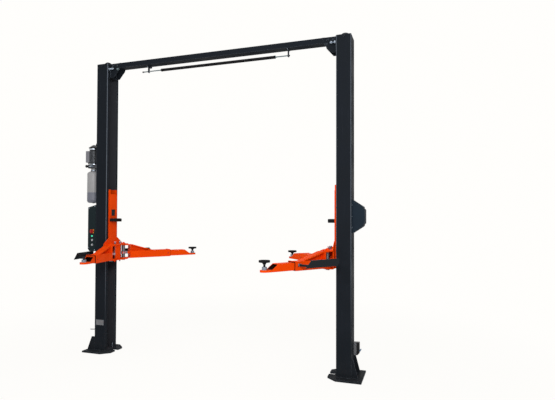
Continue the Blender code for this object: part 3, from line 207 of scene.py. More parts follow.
class Effect(Enum):
    """Effects that several finishes share, each a node group."""

    EDGE_WEAR_AND_HIGHLIGHT = "edge_wear_and_highlight"
    DUST = "settled_dust"
    MOTTLE = "paint_mottle"
    GRIME = "floor_grime"
    PEEL = "coat_peel"
    SCRATCHES = "long_scratches"


class EffectLibrary:
    """The node groups, each built once on first use."""

    def __init__(self) -> None:
        """Set out which method builds which effect."""
        self.makers: dict[Effect, Callable[[], bpy.types.NodeTree]] = {
            Effect.EDGE_WEAR_AND_HIGHLIGHT: self.edge_wear_and_highlight,
            Effect.DUST: self.dust,
            Effect.MOTTLE: self.mottle,
            Effect.GRIME: self.grime,
            Effect.PEEL: self.peel,
            Effect.SCRATCHES: self.scratches,
        }
        self.built: dict[Effect, bpy.types.NodeTree] = {}

    def get(self, effect: Effect) -> bpy.types.NodeTree:
        """Return the effect's group, made if need be."""
        if effect not in self.built:
            self.built[effect] = self.makers[effect]()
        return self.built[effect]

    @staticmethod
    def start(effect: Effect, inputs: dict[str, float], output: str
              ) -> tuple[Wiring, bpy.types.Node, bpy.types.Node]:
        """Make an empty group with its sockets.

        Args:
            effect: Which effect it is.
            inputs: Input names with their usual values.
            output: The output's name.

        Returns:
            The wiring, the group's input node and its output node.
        """
        tree = bpy.data.node_groups.new(effect.value, "ShaderNodeTree")
        kind = "NodeSocketFloat"
        for name, usual in inputs.items():
            made = tree.interface.new_socket(name, in_out="INPUT", socket_type=kind)
            made.default_value = usual
        tree.interface.new_socket(output, in_out="OUTPUT", socket_type=kind)
        return Wiring(tree), tree.nodes.new("NodeGroupInput"), tree.nodes.new("NodeGroupOutput")

    def edge_wear_and_highlight(self) -> bpy.types.NodeTree:
        """Mask of rubbed edges, broken up by noise, never below its unbroken share, which paints a highlight
        along every edge.
        """
        usual = {"Width": 0.003, "Amount": 0.6, "Scale": 40.0, "Whole": 0.0}
        wires, given, result = self.start(Effect.EDGE_WEAR_AND_HIGHLIGHT, usual, "Mask")
        rounded = wires.add("Bevel", samples=4)
        wires.link(given.outputs["Width"], rounded.inputs["Radius"])
        surface = wires.add("NewGeometry")
        dot = wires.add("VectorMath", operation="DOT_PRODUCT")
        wires.link(rounded.outputs["Normal"], dot.inputs[0])
        wires.link(surface.outputs["Normal"], dot.inputs[1])
        edge = wires.spread(wires.math("SUBTRACT", 1.0, dot.outputs["Value"]), 0.02, 0.22)
        place = wires.place()
        broken = wires.spread(wires.noise(place, given.outputs["Scale"], 6.0, 0.7), 0.42, 0.66)
        # The unbroken share keeps the mask from falling below it: a painted highlight along every edge.
        broken = wires.math("MAXIMUM", broken, given.outputs["Whole"])
        wear_and_highlight = wires.times(wires.times(edge, broken), given.outputs["Amount"], True)
        wires.link(wear_and_highlight, result.inputs["Mask"])
        return wires.tree

    def dust(self) -> bpy.types.NodeTree:
        """Mask of dust that lies on faces that look up."""
        wires, given, result = self.start(Effect.DUST, {"Amount": 0.3, "Scale": 9.0}, "Mask")
        upward = wires.spread(wires.axes(wires.add("NewGeometry").outputs["Normal"])["Z"], 0.35, 0.95)
        place = wires.place()
        patchy = wires.spread(wires.noise(place, given.outputs["Scale"], 7.0, 0.65), 0.30, 0.75, 0.25, 1.0)
        lying = wires.times(wires.times(upward, patchy), given.outputs["Amount"], True)
        wires.link(lying, result.inputs["Mask"])
        return wires.tree

    def mottle(self) -> bpy.types.NodeTree:
        """Slow drift of a coat's shade, with a fine grain in it."""
        wires, given, result = self.start(Effect.MOTTLE, {"Scale": 3.0, "Grain": 0.25}, "Factor")
        place = wires.place()
        slow = wires.spread(wires.noise(place, given.outputs["Scale"], 3.0), 0.30, 0.70)
        fine = wires.noise(place, wires.times(given.outputs["Scale"], 60.0), 2.0)
        both = wires.add("Mix", data_type="FLOAT")
        wires.link(given.outputs["Grain"], both.inputs[0])
        wires.link(slow, both.inputs[2])
        wires.link(fine, both.inputs[3])
        wires.link(both.outputs[0], result.inputs["Factor"])
        return wires.tree

    def grime(self) -> bpy.types.NodeTree:
        """Mask of shop dirt that is thickest at the floor."""
        wires, given, result = self.start(Effect.GRIME, {"Height": 0.35, "Amount": 0.5}, "Mask")
        place = wires.place()
        share = wires.math("DIVIDE", wires.axes(place)["Z"], given.outputs["Height"], True)
        low = wires.math("POWER", wires.math("SUBTRACT", 1.0, share), 2.0)
        patchy = wires.spread(wires.noise(place, 14.0, 8.0, 0.65), 0.35, 0.70, 0.15, 1.0)
        dirt = wires.times(wires.times(low, patchy), given.outputs["Amount"], True)
        wires.link(dirt, result.inputs["Mask"])
        return wires.tree

    def peel(self) -> bpy.types.NodeTree:
        """Height of the fine orange peel of a baked coat."""
        wires, given, result = self.start(Effect.PEEL, {"Scale": 260.0}, "Height")
        place = wires.place()
        fine = wires.noise(place, given.outputs["Scale"], 2.0, 0.4)
        broad = wires.noise(place, wires.times(given.outputs["Scale"], 0.12), 1.0)
        wires.link(wires.math("ADD", fine, wires.times(broad, 0.6)), result.inputs["Height"])
        return wires.tree

    def scratches(self) -> bpy.types.NodeTree:
        """Mask of thin scratches that run up and down."""
        wires, given, result = self.start(Effect.SCRATCHES, {"Scale": 90.0, "Amount": 0.4}, "Mask")
        place = wires.place()
        long = wires.add("Mapping")
        long.inputs["Scale"].default_value = (1.0, 1.0, 0.012)
        wires.link(place, long.inputs["Vector"])
        lines = wires.spread(wires.noise(long.outputs[0], given.outputs["Scale"], 3.0, 0.8), 0.60, 0.68)
        where = wires.spread(wires.noise(place, 6.0, 3.0), 0.45, 0.65)
        thin = wires.times(wires.times(lines, where), given.outputs["Amount"], True)
        wires.link(thin, result.inputs["Mask"])
        return wires.tree


EFFECTS = EffectLibrary()
MADE: dict[str, bpy.types.Material] = {}


@dataclass(frozen=True)
class Finish:
    """What every finish has: a name, two shades of its colour and how it reflects."""

    name: str
    colour: Colour
    shade: Colour
    roughness: float = 0.4
    metallic: float = 0.0
    specular: float = 0.5
    coat: float = 0.0
    mottle_scale: float = 3.0
    grain: float = 0.3

    def material(self) -> bpy.types.Material:
        """Build the finish's material, or return the one that was built before."""
        if self.name in MADE:
            return MADE[self.name]
        made = bpy.data.materials.new(self.name)
        MADE[self.name] = made
        made.use_nodes = True
        made.node_tree.nodes.clear()
        wires = Wiring(made.node_tree)
        shader = wires.add("BsdfPrincipled")
        out = wires.add("OutputMaterial")
        wires.link(shader.outputs["BSDF"], out.inputs["Surface"])
        shader.inputs["Metallic"].default_value = self.metallic
        shader.inputs["Specular IOR Level"].default_value = self.specular
        shader.inputs["Coat Weight"].default_value = self.coat
        shader.inputs["Coat Roughness"].default_value = 0.12
        self.dress(wires, shader)
        return made

    def effect(self, wires: Wiring, effect: Effect, **values: float) -> Socket:
        """Place a shared effect in this material and return its output."""
        node = wires.add("Group", node_tree=EFFECTS.get(effect))
        for name, value in values.items():
            node.inputs[name].default_value = value
        return node.outputs[0]

    def base(self, wires: Wiring) -> tuple[Socket, Socket]:
        """The mottled colour, and the mottle itself."""
        factor = self.effect(wires, Effect.MOTTLE, Scale=self.mottle_scale, Grain=self.grain)
        return wires.mix(factor, self.colour, self.shade), factor

    def bump(self, wires: Wiring, shader: bpy.types.Node, height: Socket, depth: float,
             strength: float = 0.5) -> None:
        """Turn a height into the shader's normal."""
        node = wires.add("Bump")
        node.inputs["Distance"].default_value = depth
        node.inputs["Strength"].default_value = strength
        wires.link(height, node.inputs["Height"])
        wires.link(node.outputs["Normal"], shader.inputs["Normal"])

    def rough(self, wires: Wiring, factor: Socket, swing: float = 0.15) -> Socket:
        """The roughness, moved up and down by the mottle."""
        low, high = self.roughness * (1.0 - swing), self.roughness * (1.0 + swing)
        return wires.spread(factor, 0.0, 1.0, low, high)

    def dress(self, wires: Wiring, shader: bpy.types.Node) -> None:
        """Wire the finish's own nodes."""
        colour, factor = self.base(wires)
        wires.link(colour, shader.inputs["Base Color"])
        wires.link(self.rough(wires, factor), shader.inputs["Roughness"])


@dataclass(frozen=True)
class Enamel(Finish):
    """Baked paint on steel, rubbed at its edges, dusty on top and, where asked for, with painted highlights
    on its edges and upright bends and painted light inside the column channels.
    """

    wear_and_highlight_colour: Colour = (0.20, 0.20, 0.21)
    wear: float = 0.5
    wear_width: float = 0.003
    edge_highlight: float = 0.0
    dust_colour: Colour = (0.42, 0.39, 0.34)
    dust: float = 0.15
    grime: float = 0.0
    scratches: float = 0.0
    bend_highlight: float = 0.0
    painted_inner_light: Colour | None = None
    peel: float = 0.00006
    # Heights over which the painted highlight on the bends fades in from the bottom.
    BEND_HIGHLIGHT_FADE: ClassVar[tuple[float, float]] = (0.2, 1.7)

    def bend_highlight_mask(self, wires: Wiring) -> Socket:
        """Mask of the upright bends, where a painted highlight stands in for the light that they catch,
        fading out towards the bottom.
        """
        parts = wires.axes(wires.add("NewGeometry").outputs["Normal"])
        across, along, upward = (wires.math("ABSOLUTE", parts[axis]) for axis in "XYZ")
        turned = wires.spread(wires.math("MINIMUM", across, along), 0.12, 0.55)
        turned = wires.times(turned, wires.spread(upward, 0.10, 0.30, 1.0, 0.0))
        return wires.times(turned, wires.spread(wires.axes(wires.place())["Z"], *self.BEND_HIGHLIGHT_FADE))

    def inside(self, wires: Wiring) -> Socket:
        """Mask of the faces inside the two channels."""
        parts = wires.axes(wires.place())
        slack = 0.001
        out = wires.math("ABSOLUTE", wires.math("SUBTRACT", parts["X"], LIFT.middle))
        aside = wires.math("ABSOLUTE", parts["Y"])
        held = wires.math("LESS_THAN", aside, LIFT.half_width - LIFT.sheet + slack)
        held = wires.times(held, wires.math("LESS_THAN", out, LIFT.outer - LIFT.sheet + slack))
        return wires.times(held, wires.math("GREATER_THAN", out, LIFT.face + slack))

    def dress(self, wires: Wiring, shader: bpy.types.Node) -> None:
        """Wire the coat, then its dust, dirt, scratches, rubbed edges with their painted highlight, the
        painted highlight on the bends and the painted light inside the channels.
        """
        colour, factor = self.base(wires)
        rough = self.rough(wires, factor, 0.2)
        lying = self.effect(wires, Effect.DUST, Amount=self.dust)
        colour = wires.mix(lying, colour, self.dust_colour)
        rough = wires.math("ADD", rough, wires.times(lying, 0.35), True)
        if self.grime:
            dirt = self.effect(wires, Effect.GRIME, Amount=self.grime)
            colour = wires.mix(dirt, colour, self.dust_colour)
            rough = wires.math("ADD", rough, wires.times(dirt, 0.3), True)
        if self.scratches:
            lines = self.effect(wires, Effect.SCRATCHES, Amount=self.scratches)
            colour = wires.mix(lines, colour, self.wear_and_highlight_colour)
        # Rubbed edges, with an unbroken share of painted highlight where one is set.
        wear_and_highlight = self.effect(wires, Effect.EDGE_WEAR_AND_HIGHLIGHT, Amount=self.wear, Width=self.wear_width,
                           Whole=self.edge_highlight)
        colour = wires.mix(wear_and_highlight, colour, self.wear_and_highlight_colour)
        # Painted highlight along the upright bends, fading out towards the bottom.
        if self.bend_highlight:
            painted_bend_highlight = wires.times(self.bend_highlight_mask(wires), self.bend_highlight)
            colour = wires.mix(painted_bend_highlight, colour, self.wear_and_highlight_colour)
        # Painted light: a lighter colour on the faces inside the channels, where the lamps reach too little.
        if self.painted_inner_light:
            colour = wires.mix(self.inside(wires), colour, self.painted_inner_light)
        wires.link(colour, shader.inputs["Base Color"])
        wires.link(rough, shader.inputs["Roughness"])
        height = self.effect(wires, Effect.PEEL)
        height = wires.math("SUBTRACT", height, wires.times(wear_and_highlight, 1.5))
        self.bump(wires, shader, height, self.peel)


@dataclass(frozen=True)
class BareSteel(Finish):
    """Plated or machined steel with a brushed grain and a few tarnished spots."""

    tarnish: Colour = (0.16, 0.14, 0.12)
    spots: float = 0.25
    brush: float = 220.0

    def dress(self, wires: Wiring, shader: bpy.types.Node) -> None:
        """Wire the plating, its tarnish and its fine brushing."""
        colour, factor = self.base(wires)
        place = wires.place()
        spots = wires.spread(wires.noise(place, 55.0, 6.0, 0.7), 0.58, 0.72, 0.0, self.spots)
        wires.link(wires.mix(spots, colour, self.tarnish), shader.inputs["Base Color"])
        brushed = wires.noise(place, self.brush, 4.0, 0.7)
        rough = wires.spread(brushed, 0.25, 0.75, self.roughness * 0.7, self.roughness * 1.3)
        wires.link(wires.math("ADD", rough, wires.times(spots, 0.5), True),
                   shader.inputs["Roughness"])
        self.bump(wires, shader, brushed, 0.00005)


@dataclass(frozen=True)
class Rubber(Finish):
    """Moulded rubber, matt, greyed by dust and rubbing."""

    greyed: Colour = (0.12, 0.12, 0.12)
    rubbed: float = 0.35
    pitted: float = 500.0

    def dress(self, wires: Wiring, shader: bpy.types.Node) -> None:
        """Wire the rubber, its greyed edges and its pitted skin."""
        colour, factor = self.base(wires)
        wear_and_highlight = self.effect(wires, Effect.EDGE_WEAR_AND_HIGHLIGHT, Amount=self.rubbed, Width=0.002, Scale=70.0)
        lying = self.effect(wires, Effect.DUST, Amount=0.06, Scale=30.0)
        grey = wires.math("MAXIMUM", wear_and_highlight, lying)
        wires.link(wires.mix(grey, colour, self.greyed), shader.inputs["Base Color"])
        wires.link(self.rough(wires, factor, 0.1), shader.inputs["Roughness"])
        place = wires.place()
        self.bump(wires, shader, wires.noise(place, self.pitted, 3.0), 0.00015)


@dataclass(frozen=True)
class Plastic(Finish):
    """Moulded plastic with a fine leathery texture."""

    edge: Colour = (0.10, 0.11, 0.12)
    rubbed: float = 0.25
    dust_colour: Colour = (0.40, 0.38, 0.34)
    texture: float = 420.0
    depth: float = 0.0001

    def dress(self, wires: Wiring, shader: bpy.types.Node) -> None:
        """Wire the plastic, its rubbed edges, its dust and its texture."""
        colour, factor = self.base(wires)
        wear_and_highlight = self.effect(wires, Effect.EDGE_WEAR_AND_HIGHLIGHT, Amount=self.rubbed, Width=0.002, Scale=80.0)
        lying = self.effect(wires, Effect.DUST, Amount=0.03, Scale=24.0)
        colour = wires.mix(wear_and_highlight, colour, self.edge)
        wires.link(wires.mix(lying, colour, self.dust_colour), shader.inputs["Base Color"])
        wires.link(self.rough(wires, factor), shader.inputs["Roughness"])
        cells = wires.add("TexVoronoi")
        wires.link(wires.place(), cells.inputs["Vector"])
        cells.inputs["Scale"].default_value = self.texture
        self.bump(wires, shader, cells.outputs["Distance"], self.depth, 0.35)


@dataclass(frozen=True)
class OilTank(Finish):
    """Milky plastic through which the oil shows below its level."""

    oil: Colour = srgb(108, 111, 123)
    level: float = 2.10

    def dress(self, wires: Wiring, shader: bpy.types.Node) -> None:
        """Wire the milky wall and the darker oil behind it."""
        colour, factor = self.base(wires)
        place = wires.place()
        wavy = wires.math("ADD", wires.axes(place)["Z"], wires.times(wires.noise(place, 12.0), 0.006))
        deep = wires.spread(wavy, self.level - 0.004, self.level + 0.010, 1.0, 0.0)
        oily = wires.mix(wires.noise(place, 20.0, 3.0), self.oil, tuple(0.8 * part for part in self.oil))
        wires.link(wires.mix(deep, colour, oily), shader.inputs["Base Color"])
        wires.link(self.rough(wires, factor, 0.2), shader.inputs["Roughness"])
        self.bump(wires, shader, wires.noise(place, 90.0, 2.0), 0.0004, 0.3)


@dataclass(frozen=True)
class Lamp(Finish):
    """A lit lens."""

    glow: Colour = (0.01, 0.62, 0.34)
    strength: float = 1.2

    def dress(self, wires: Wiring, shader: bpy.types.Node) -> None:
        """Wire the lens and its light."""
        colour, factor = self.base(wires)
        wires.link(colour, shader.inputs["Base Color"])
        wires.link(wires.spread(factor, 0.0, 1.0, 0.15, 0.25), shader.inputs["Roughness"])
        wires.link(wires.mix(factor, self.glow, tuple(0.8 * part for part in self.glow)),
                   shader.inputs["Emission Color"])
        shader.inputs["Emission Strength"].default_value = self.strength


# The columns' pale edge colour serves real rubbed edges and scratches and also, with its unbroken share and
# the mask of the bends, paints highlights on edges and bends; the inner colour paints light inside the
# channels.
COLUMN_ENAMEL = Enamel("column_enamel", srgb(24, 28, 33), srgb(29, 33, 39), 0.62, specular=0.03,
                       wear_and_highlight_colour=srgb(112, 120, 131), wear=0.85, wear_width=0.006, edge_highlight=0.35,
                       dust=0.01, grime=0.02, scratches=0.06, bend_highlight=0.75, painted_inner_light=srgb(62, 63, 68))
ARM_ENAMEL = Enamel("arm_enamel", srgb(240, 74, 2), srgb(230, 66, 1), 0.50, specular=0.05,
                    wear_and_highlight_colour=srgb(150, 48, 12), wear=0.30, dust=0.0, mottle_scale=5.0)
# Dark coat of painted shade for the inner tubes' open ends and the outer tubes' mouths.
TUBE_SHADE = Enamel("painted_tube_shade", srgb(38, 16, 12), srgb(48, 22, 16), 0.75, specular=0.05,
                     wear_and_highlight_colour=srgb(60, 48, 42), wear=0.2, dust=0.0, mottle_scale=16.0)
# The guard's unbroken edge share paints a pale highlight along its edges.
GUARD_ENAMEL = Enamel("guard_enamel", srgb(25, 29, 33), srgb(31, 36, 40), 0.55, specular=0.10,
                      wear_and_highlight_colour=srgb(96, 104, 108), wear=0.8, edge_highlight=0.45, dust=0.01, mottle_scale=8.0)
CAST_ENAMEL = Enamel("cast_enamel", srgb(25, 27, 30), srgb(34, 36, 39), 0.50, specular=0.2,
                     wear_and_highlight_colour=srgb(84, 84, 87), wear=0.25, dust=0.01, mottle_scale=12.0, peel=0.0003)
LILAC_ENAMEL = Enamel("lilac_enamel", srgb(128, 128, 134), srgb(117, 117, 124), 0.50, specular=0.15,
                      wear_and_highlight_colour=srgb(110, 112, 114), wear=0.4, dust=0.02, mottle_scale=14.0)
PALE_ENAMEL = Enamel("pale_enamel", srgb(118, 119, 122), srgb(106, 107, 110), 0.45, specular=0.15,
                     wear_and_highlight_colour=srgb(96, 100, 102), wear=0.5, dust=0.02, mottle_scale=18.0)
YELLOW_ENAMEL = Enamel("yellow_enamel", srgb(232, 160, 40), srgb(214, 140, 30), 0.45,
                       wear_and_highlight_colour=srgb(150, 110, 60), wear=0.5, dust=0.02, mottle_scale=20.0)
BLUE_ENAMEL = Enamel("blue_enamel", srgb(84, 122, 158), srgb(70, 106, 142), 0.45, specular=0.3,
                     wear_and_highlight_colour=srgb(140, 150, 160), wear=0.5, dust=0.02, mottle_scale=20.0)
ZINC = BareSteel("zinc_steel", srgb(150, 160, 172), srgb(112, 122, 134), 0.38, 0.85)
DULL_ZINC = BareSteel("dull_zinc", srgb(104, 120, 124), srgb(84, 98, 102), 0.50, 0.5)
CHROME = BareSteel("chrome_steel", srgb(196, 202, 210), srgb(160, 168, 178), 0.18, 1.0, spots=0.1)
CAST_METAL = BareSteel("cast_metal", srgb(128, 132, 138), srgb(98, 102, 108), 0.48, 0.8, spots=0.3)
BLOCK_METAL = BareSteel("block_metal", srgb(84, 86, 91), srgb(58, 60, 65), 0.50, 0.7, spots=0.3)
SPRING_STEEL = BareSteel("spring_steel", srgb(58, 62, 68), srgb(44, 48, 54), 0.45, 0.6, spots=0.1)
BLACK_RUBBER = Rubber("moulded_rubber", srgb(18, 18, 20), srgb(24, 24, 26), 0.85, specular=0.10,
                      greyed=srgb(44, 44, 46))
WHITE_NYLON = Rubber("white_nylon", srgb(190, 190, 184), srgb(174, 174, 168), 0.60,
                     greyed=srgb(140, 140, 134))
BOX_PLASTIC = Plastic("box_moulding", srgb(27, 36, 39), srgb(31, 41, 44), 0.68, specular=0.05)
COVER_PLASTIC = Plastic("cover_moulding", srgb(25, 35, 44), srgb(29, 40, 50), 0.62, edge=srgb(66, 78, 92),
                        specular=0.06, rubbed=0.5)
BLACK_PLASTIC = Plastic("black_moulding", srgb(22, 22, 24), srgb(28, 28, 31), 0.45, edge=srgb(56, 58, 62),
                        specular=0.2)
RED_PLASTIC = Plastic("knob_moulding", srgb(172, 20, 16), srgb(150, 14, 12), 0.40, edge=srgb(190, 60, 50))
GREY_PLASTIC = Plastic("grey_plastic", srgb(176, 180, 184), srgb(158, 162, 166), 0.45,
                       edge=srgb(200, 200, 200))
TANK_PLASTIC = OilTank("tank_moulding", srgb(150, 150, 152), srgb(140, 140, 142), 0.45)
GREEN_LENS = Lamp("green_lens", srgb(30, 214, 160), srgb(16, 184, 134), 0.2)


# Places on the lift


@dataclass(frozen=True)
class Lift:
    """The main sizes of the lift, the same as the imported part's."""

    middle: float = 1.6185
    face: float = 1.521
    outer: float = 1.690
    half_width: float = 0.115
    sheet: float = 0.006
    height: float = 3.800
    plate: float = 0.020
    beam_bottom: float = 3.747
    carriage_foot: float = 1.203
    clevis_top: float = 1.412
    carriage_face: float = 1.497
    pivot_out: float = 1.430
    pivot_spread: float = 0.130
    lock_spread: float = 0.0515
    arm_foot: float = 1.2156
    arm_half: float = 0.060
    arm_height: float = 0.095
    inner_foot: float = 1.2222
    unit_out: float = 1.822
    panel_out: float = 1.740

    def station(self, side: Side) -> Matrix:
        """The frame of one column: X points out of the bay, Z up."""
        turn = math.pi if side is Side.LEFT else 0.0
        return Matrix.Translation((self.middle, 0.0, 0.0)) @ Matrix.Rotation(turn, 4, "Z")

    def fore(self, side: Side) -> float:
        """The sign along a station's Y that points at the front of the lift."""
        return 1.0 if side is Side.LEFT else -1.0


LIFT = Lift()


@dataclass(frozen=True)
class Arm:
    """One swing arm as it stands in the photograph."""

    side: Side
    end: End
    swing: float
    reach: float
    lift: float

    @property
    def name(self) -> str:
        """The arm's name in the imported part."""
        return f"{self.side.value}_{self.end.value}"

    @property
    def length(self) -> float:
        """How far the outer tube reaches from its pin."""
        return 0.500 if self.end is End.FRONT else 0.635

    @property
    def away(self) -> float:
        """The sign along the arm's Y on which its toe guard is."""
        return 1.0 if (self.side is Side.LEFT) == (self.end is End.BACK) else -1.0

    def base(self) -> Matrix:
        """The arm's own frame: X runs along it from its pin."""
        side = -1.0 if self.side is Side.LEFT else 1.0
        end = -1.0 if self.end is End.FRONT else 1.0
        angle = math.radians(self.swing)
        heading = math.atan2(end * math.cos(angle), -side * math.sin(angle))
        pin = (LIFT.middle + side * LIFT.pivot_out, end * LIFT.pivot_spread, 0.0)
        return Matrix.Translation(pin) @ Matrix.Rotation(heading, 4, "Z")


ARMS = (
    Arm(Side.LEFT, End.FRONT, 12.3, 0.668, 0.112),
    Arm(Side.LEFT, End.BACK, 37.8, 1.003, 0.090),
    Arm(Side.RIGHT, End.FRONT, 35.4, 0.851, 0.100),
    Arm(Side.RIGHT, End.BACK, 45.0, 0.948, 0.084),
)


# Mesh helpers


def looking(place: Sequence[float], along: Sequence[float]) -> Matrix:
    """A frame at a place whose Z axis points along a direction."""
    turn = Vector((0.0, 0.0, 1.0)).rotation_difference(Vector(along)).to_matrix().to_4x4()
    return Matrix.Translation(Vector(place)) @ turn


class Sketch:
    """A mesh that is being built in one local frame."""

    def __init__(self, base: Matrix | None = None) -> None:
        """Start an empty mesh.

        Args:
            base: The local frame. Without one, places are in the lift's own frame.
        """
        self.shape = bmesh.new()
        self.base = base or Matrix.Identity(4)

    def take(self, part: bmesh.types.BMesh, local: Matrix | None = None) -> None:
        """Add a part's mesh, moved from its own frame into the local one.

        Args:
            part: The part's mesh. It is freed.
            local: The part's frame in the local one. Without one, it is the local one.
        """
        bmesh.ops.transform(part, matrix=self.base @ (local or Matrix.Identity(4)), verts=part.verts)
        mesh = bpy.data.meshes.new("part")
        part.to_mesh(mesh)
        part.free()
        self.shape.from_mesh(mesh)
        bpy.data.meshes.remove(mesh)

    def block(self, low: Sequence[float], high: Sequence[float], soft: float = 0.0,
              segments: int = 2) -> None:
        """Add a block between two corners.

        Args:
            low: Its lowest corner.
            high: Its highest corner.
            soft: How far its edges are rounded.
            segments: The steps of that rounding.
        """
        low, high = Vector(low), Vector(high)
        size = Matrix.Diagonal((*(high - low), 1.0))
        part = bmesh.new()
        bmesh.ops.create_cube(part, size=1.0, matrix=Matrix.Translation((low + high) / 2) @ size)
        if soft:
            bmesh.ops.bevel(part, geom=part.edges[:], offset=soft, segments=segments, profile=0.5,
                            affect="EDGES", material=-1)
        self.take(part)

    def slab(self, sign: float, low: Sequence[float], high: Sequence[float], soft: float = 0.0,
             segments: int = 2) -> None:
        """Add a block on one side of the middle.

        Args:
            sign: The side along Y that it is on.
            low: Its lowest corner, with the distance along Y of its near face.
            high: Its highest corner, with the distance along Y of its far face.
            soft: How far its edges are rounded.
            segments: The steps of that rounding.
        """
        near, far = sorted((sign * low[1], sign * high[1]))
        self.block((low[0], near, low[2]), (high[0], far, high[2]), soft, segments)

    def ball(self, place: Sequence[float], radius: float, around: int, upward: int) -> None:
        """Add a ball with a number of faces around it and from foot to top."""
        part = bmesh.new()
        bmesh.ops.create_uvsphere(part, u_segments=around, v_segments=upward, radius=radius)
        self.take(part, Matrix.Translation(place))

    def rod(self, begin: Sequence[float], finish: Sequence[float], radius: float, sides: int = 20,
            end_radius: float | None = None, soft: float = 0.0) -> None:
        """Add a round bar, a cone or, with six sides, a hexagon.

        Args:
            begin: The middle of its first end.
            finish: The middle of its other end.
            radius: Its radius.
            sides: How many sides it has.
            end_radius: The other end's radius, where it differs.
            soft: The chamfer at both ends.
        """
        along = Vector(finish) - Vector(begin)
        last = radius if end_radius is None else end_radius
        part = bmesh.new()
        bmesh.ops.create_cone(part, cap_ends=True, segments=sides, radius1=radius, radius2=last,
                              depth=along.length)
        if soft:
            rims = [edge for edge in part.edges if abs(edge.verts[0].co.z - edge.verts[1].co.z) < 1e-7]
            bmesh.ops.bevel(part, geom=rims, offset=soft, segments=1, profile=0.5, affect="EDGES",
                            material=-1)
        self.take(part, looking((Vector(begin) + Vector(finish)) / 2, along))

    def bolt(self, place: Sequence[float], along: Sequence[float], radius: float, height: float,
             washer: float = 1.35, shank: float = 0.0) -> None:
        """Add a hexagon head or nut on its washer.

        Args:
            place: Where it touches what it holds.
            along: The way it sticks out.
            radius: Its radius across the corners.
            height: How far it stands up, washer included.
            washer: The washer's radius as a share of the head's.
            shank: How far a threaded end sticks out of a nut.
        """
        place, along = Vector(place), Vector(along).normalized()
        thin = height * 0.16
        self.rod(place, place + along * thin, radius * washer, 24, soft=thin * 0.3)
        self.rod(place + along * thin, place + along * height, radius, 6, soft=radius * 0.10)
        if shank:
            self.thread(place + along * height * 0.9, along, radius * 0.55, height * 0.1 + shank)

    def thread(self, place: Sequence[float], along: Sequence[float], radius: float, length: float,
               pitch: float = 0.0022) -> None:
        """Add a threaded end as a turned bar with ridges."""
        turns = max(2, int(length / pitch))
        root = radius * 0.88
        profile = [(0.0, 0.0), (root, 0.0)]
        for turn in range(turns):
            foot = length * turn / turns
            profile += [(root, foot + length * 0.1 / turns), (radius, foot + length * 0.5 / turns)]
        profile += [(radius * 0.85, length), (0.0, length)]
        self.lathe(place, along, profile, 14)

    def lathe(self, place: Sequence[float], along: Sequence[float], profile: Profile,
              steps: int = 28) -> None:
        """Turn a profile round an axis.

        Args:
            place: Where the axis starts.
            along: The way that the axis points.
            profile: Points of radius and height.
            steps: How many steps a full turn has.
        """
        part = bmesh.new()
        verts = [part.verts.new((radius, 0.0, height)) for radius, height in profile]
        edges = [part.edges.new(pair) for pair in zip(verts, verts[1:])]
        bmesh.ops.spin(part, geom=verts + edges, cent=ORIGIN, axis=UP, angle=math.tau,
                       steps=steps, use_merge=True)
        self.take(part, looking(place, along))

    def ring(self, place: Sequence[float], along: Sequence[float], radius: float, wire: float,
             steps: int = 28, sides: int = 8) -> None:
        """Add a ring of round wire."""
        angles = [math.tau * i / sides for i in range(sides + 1)]
        profile = [(radius + wire * math.cos(angle), wire * math.sin(angle)) for angle in angles]
        self.lathe(place, along, profile, steps)

    def coil(self, place: Sequence[float], along: Sequence[float], radius: float, wire: float,
             length: float, turns: int, sides: int = 6) -> None:
        """Add a coil spring by spinning its wire's section along its axis."""
        part = bmesh.new()
        section = Matrix.Translation((radius, 0.0, wire)) @ Matrix.Rotation(math.pi / 2, 4, "X")
        bmesh.ops.create_circle(part, cap_ends=True, segments=sides, radius=wire, matrix=section)
        steps = turns * 14
        bmesh.ops.spin(part, geom=part.faces[:], cent=ORIGIN, axis=UP, angle=math.tau * turns,
                       dvec=(0, 0, (length - 2 * wire) / steps), steps=steps, use_merge=False)
        self.take(part, looking(place, along))

    def weld(self, begin: Sequence[float], finish: Sequence[float], radius: float = 0.004,
             pitch: float = 0.007) -> None:
        """Lay a rippled weld bead between two points.

        Args:
            begin: Where the bead starts.
            finish: Where it ends.
            radius: The bead's radius.
            pitch: The distance between its ripples.
        """
        along = Vector(finish) - Vector(begin)
        part = bmesh.new()
        bmesh.ops.create_cone(part, cap_ends=True, segments=7, radius1=radius, radius2=radius,
                              depth=along.length)
        sides = [edge for edge in part.edges if abs(edge.verts[0].co.z - edge.verts[1].co.z) > 1e-6]
        ripples = max(2, int(along.length / pitch))
        bmesh.ops.subdivide_edges(part, edges=sides, cuts=ripples * 2 - 1, use_grid_fill=True)
        for vert in part.verts:
            share = (vert.co.z / along.length + 0.5) * ripples
            swell = 0.86 + 0.14 * math.cos(math.tau * share)
            vert.co.x *= swell
            vert.co.y *= swell
        self.take(part, looking((Vector(begin) + Vector(finish)) / 2, along))

    def done(self, name: str, finish: Finish, body: str, smooth: float | None = 35.0) -> bpy.types.Object:
        """Finish the mesh and let it ride on a body.

        Args:
            name: The piece's name.
            finish: What it is dressed in.
            body: The CAD body that it moves with.
            smooth: The angle below which edges shade smooth.

        Returns:
            The new object.
        """
        made = settle(self.shape, name, finish, smooth)
        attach(made, body)
        LOG.info("%s: %d faces on %s", name, len(made.data.polygons), body)
        return made


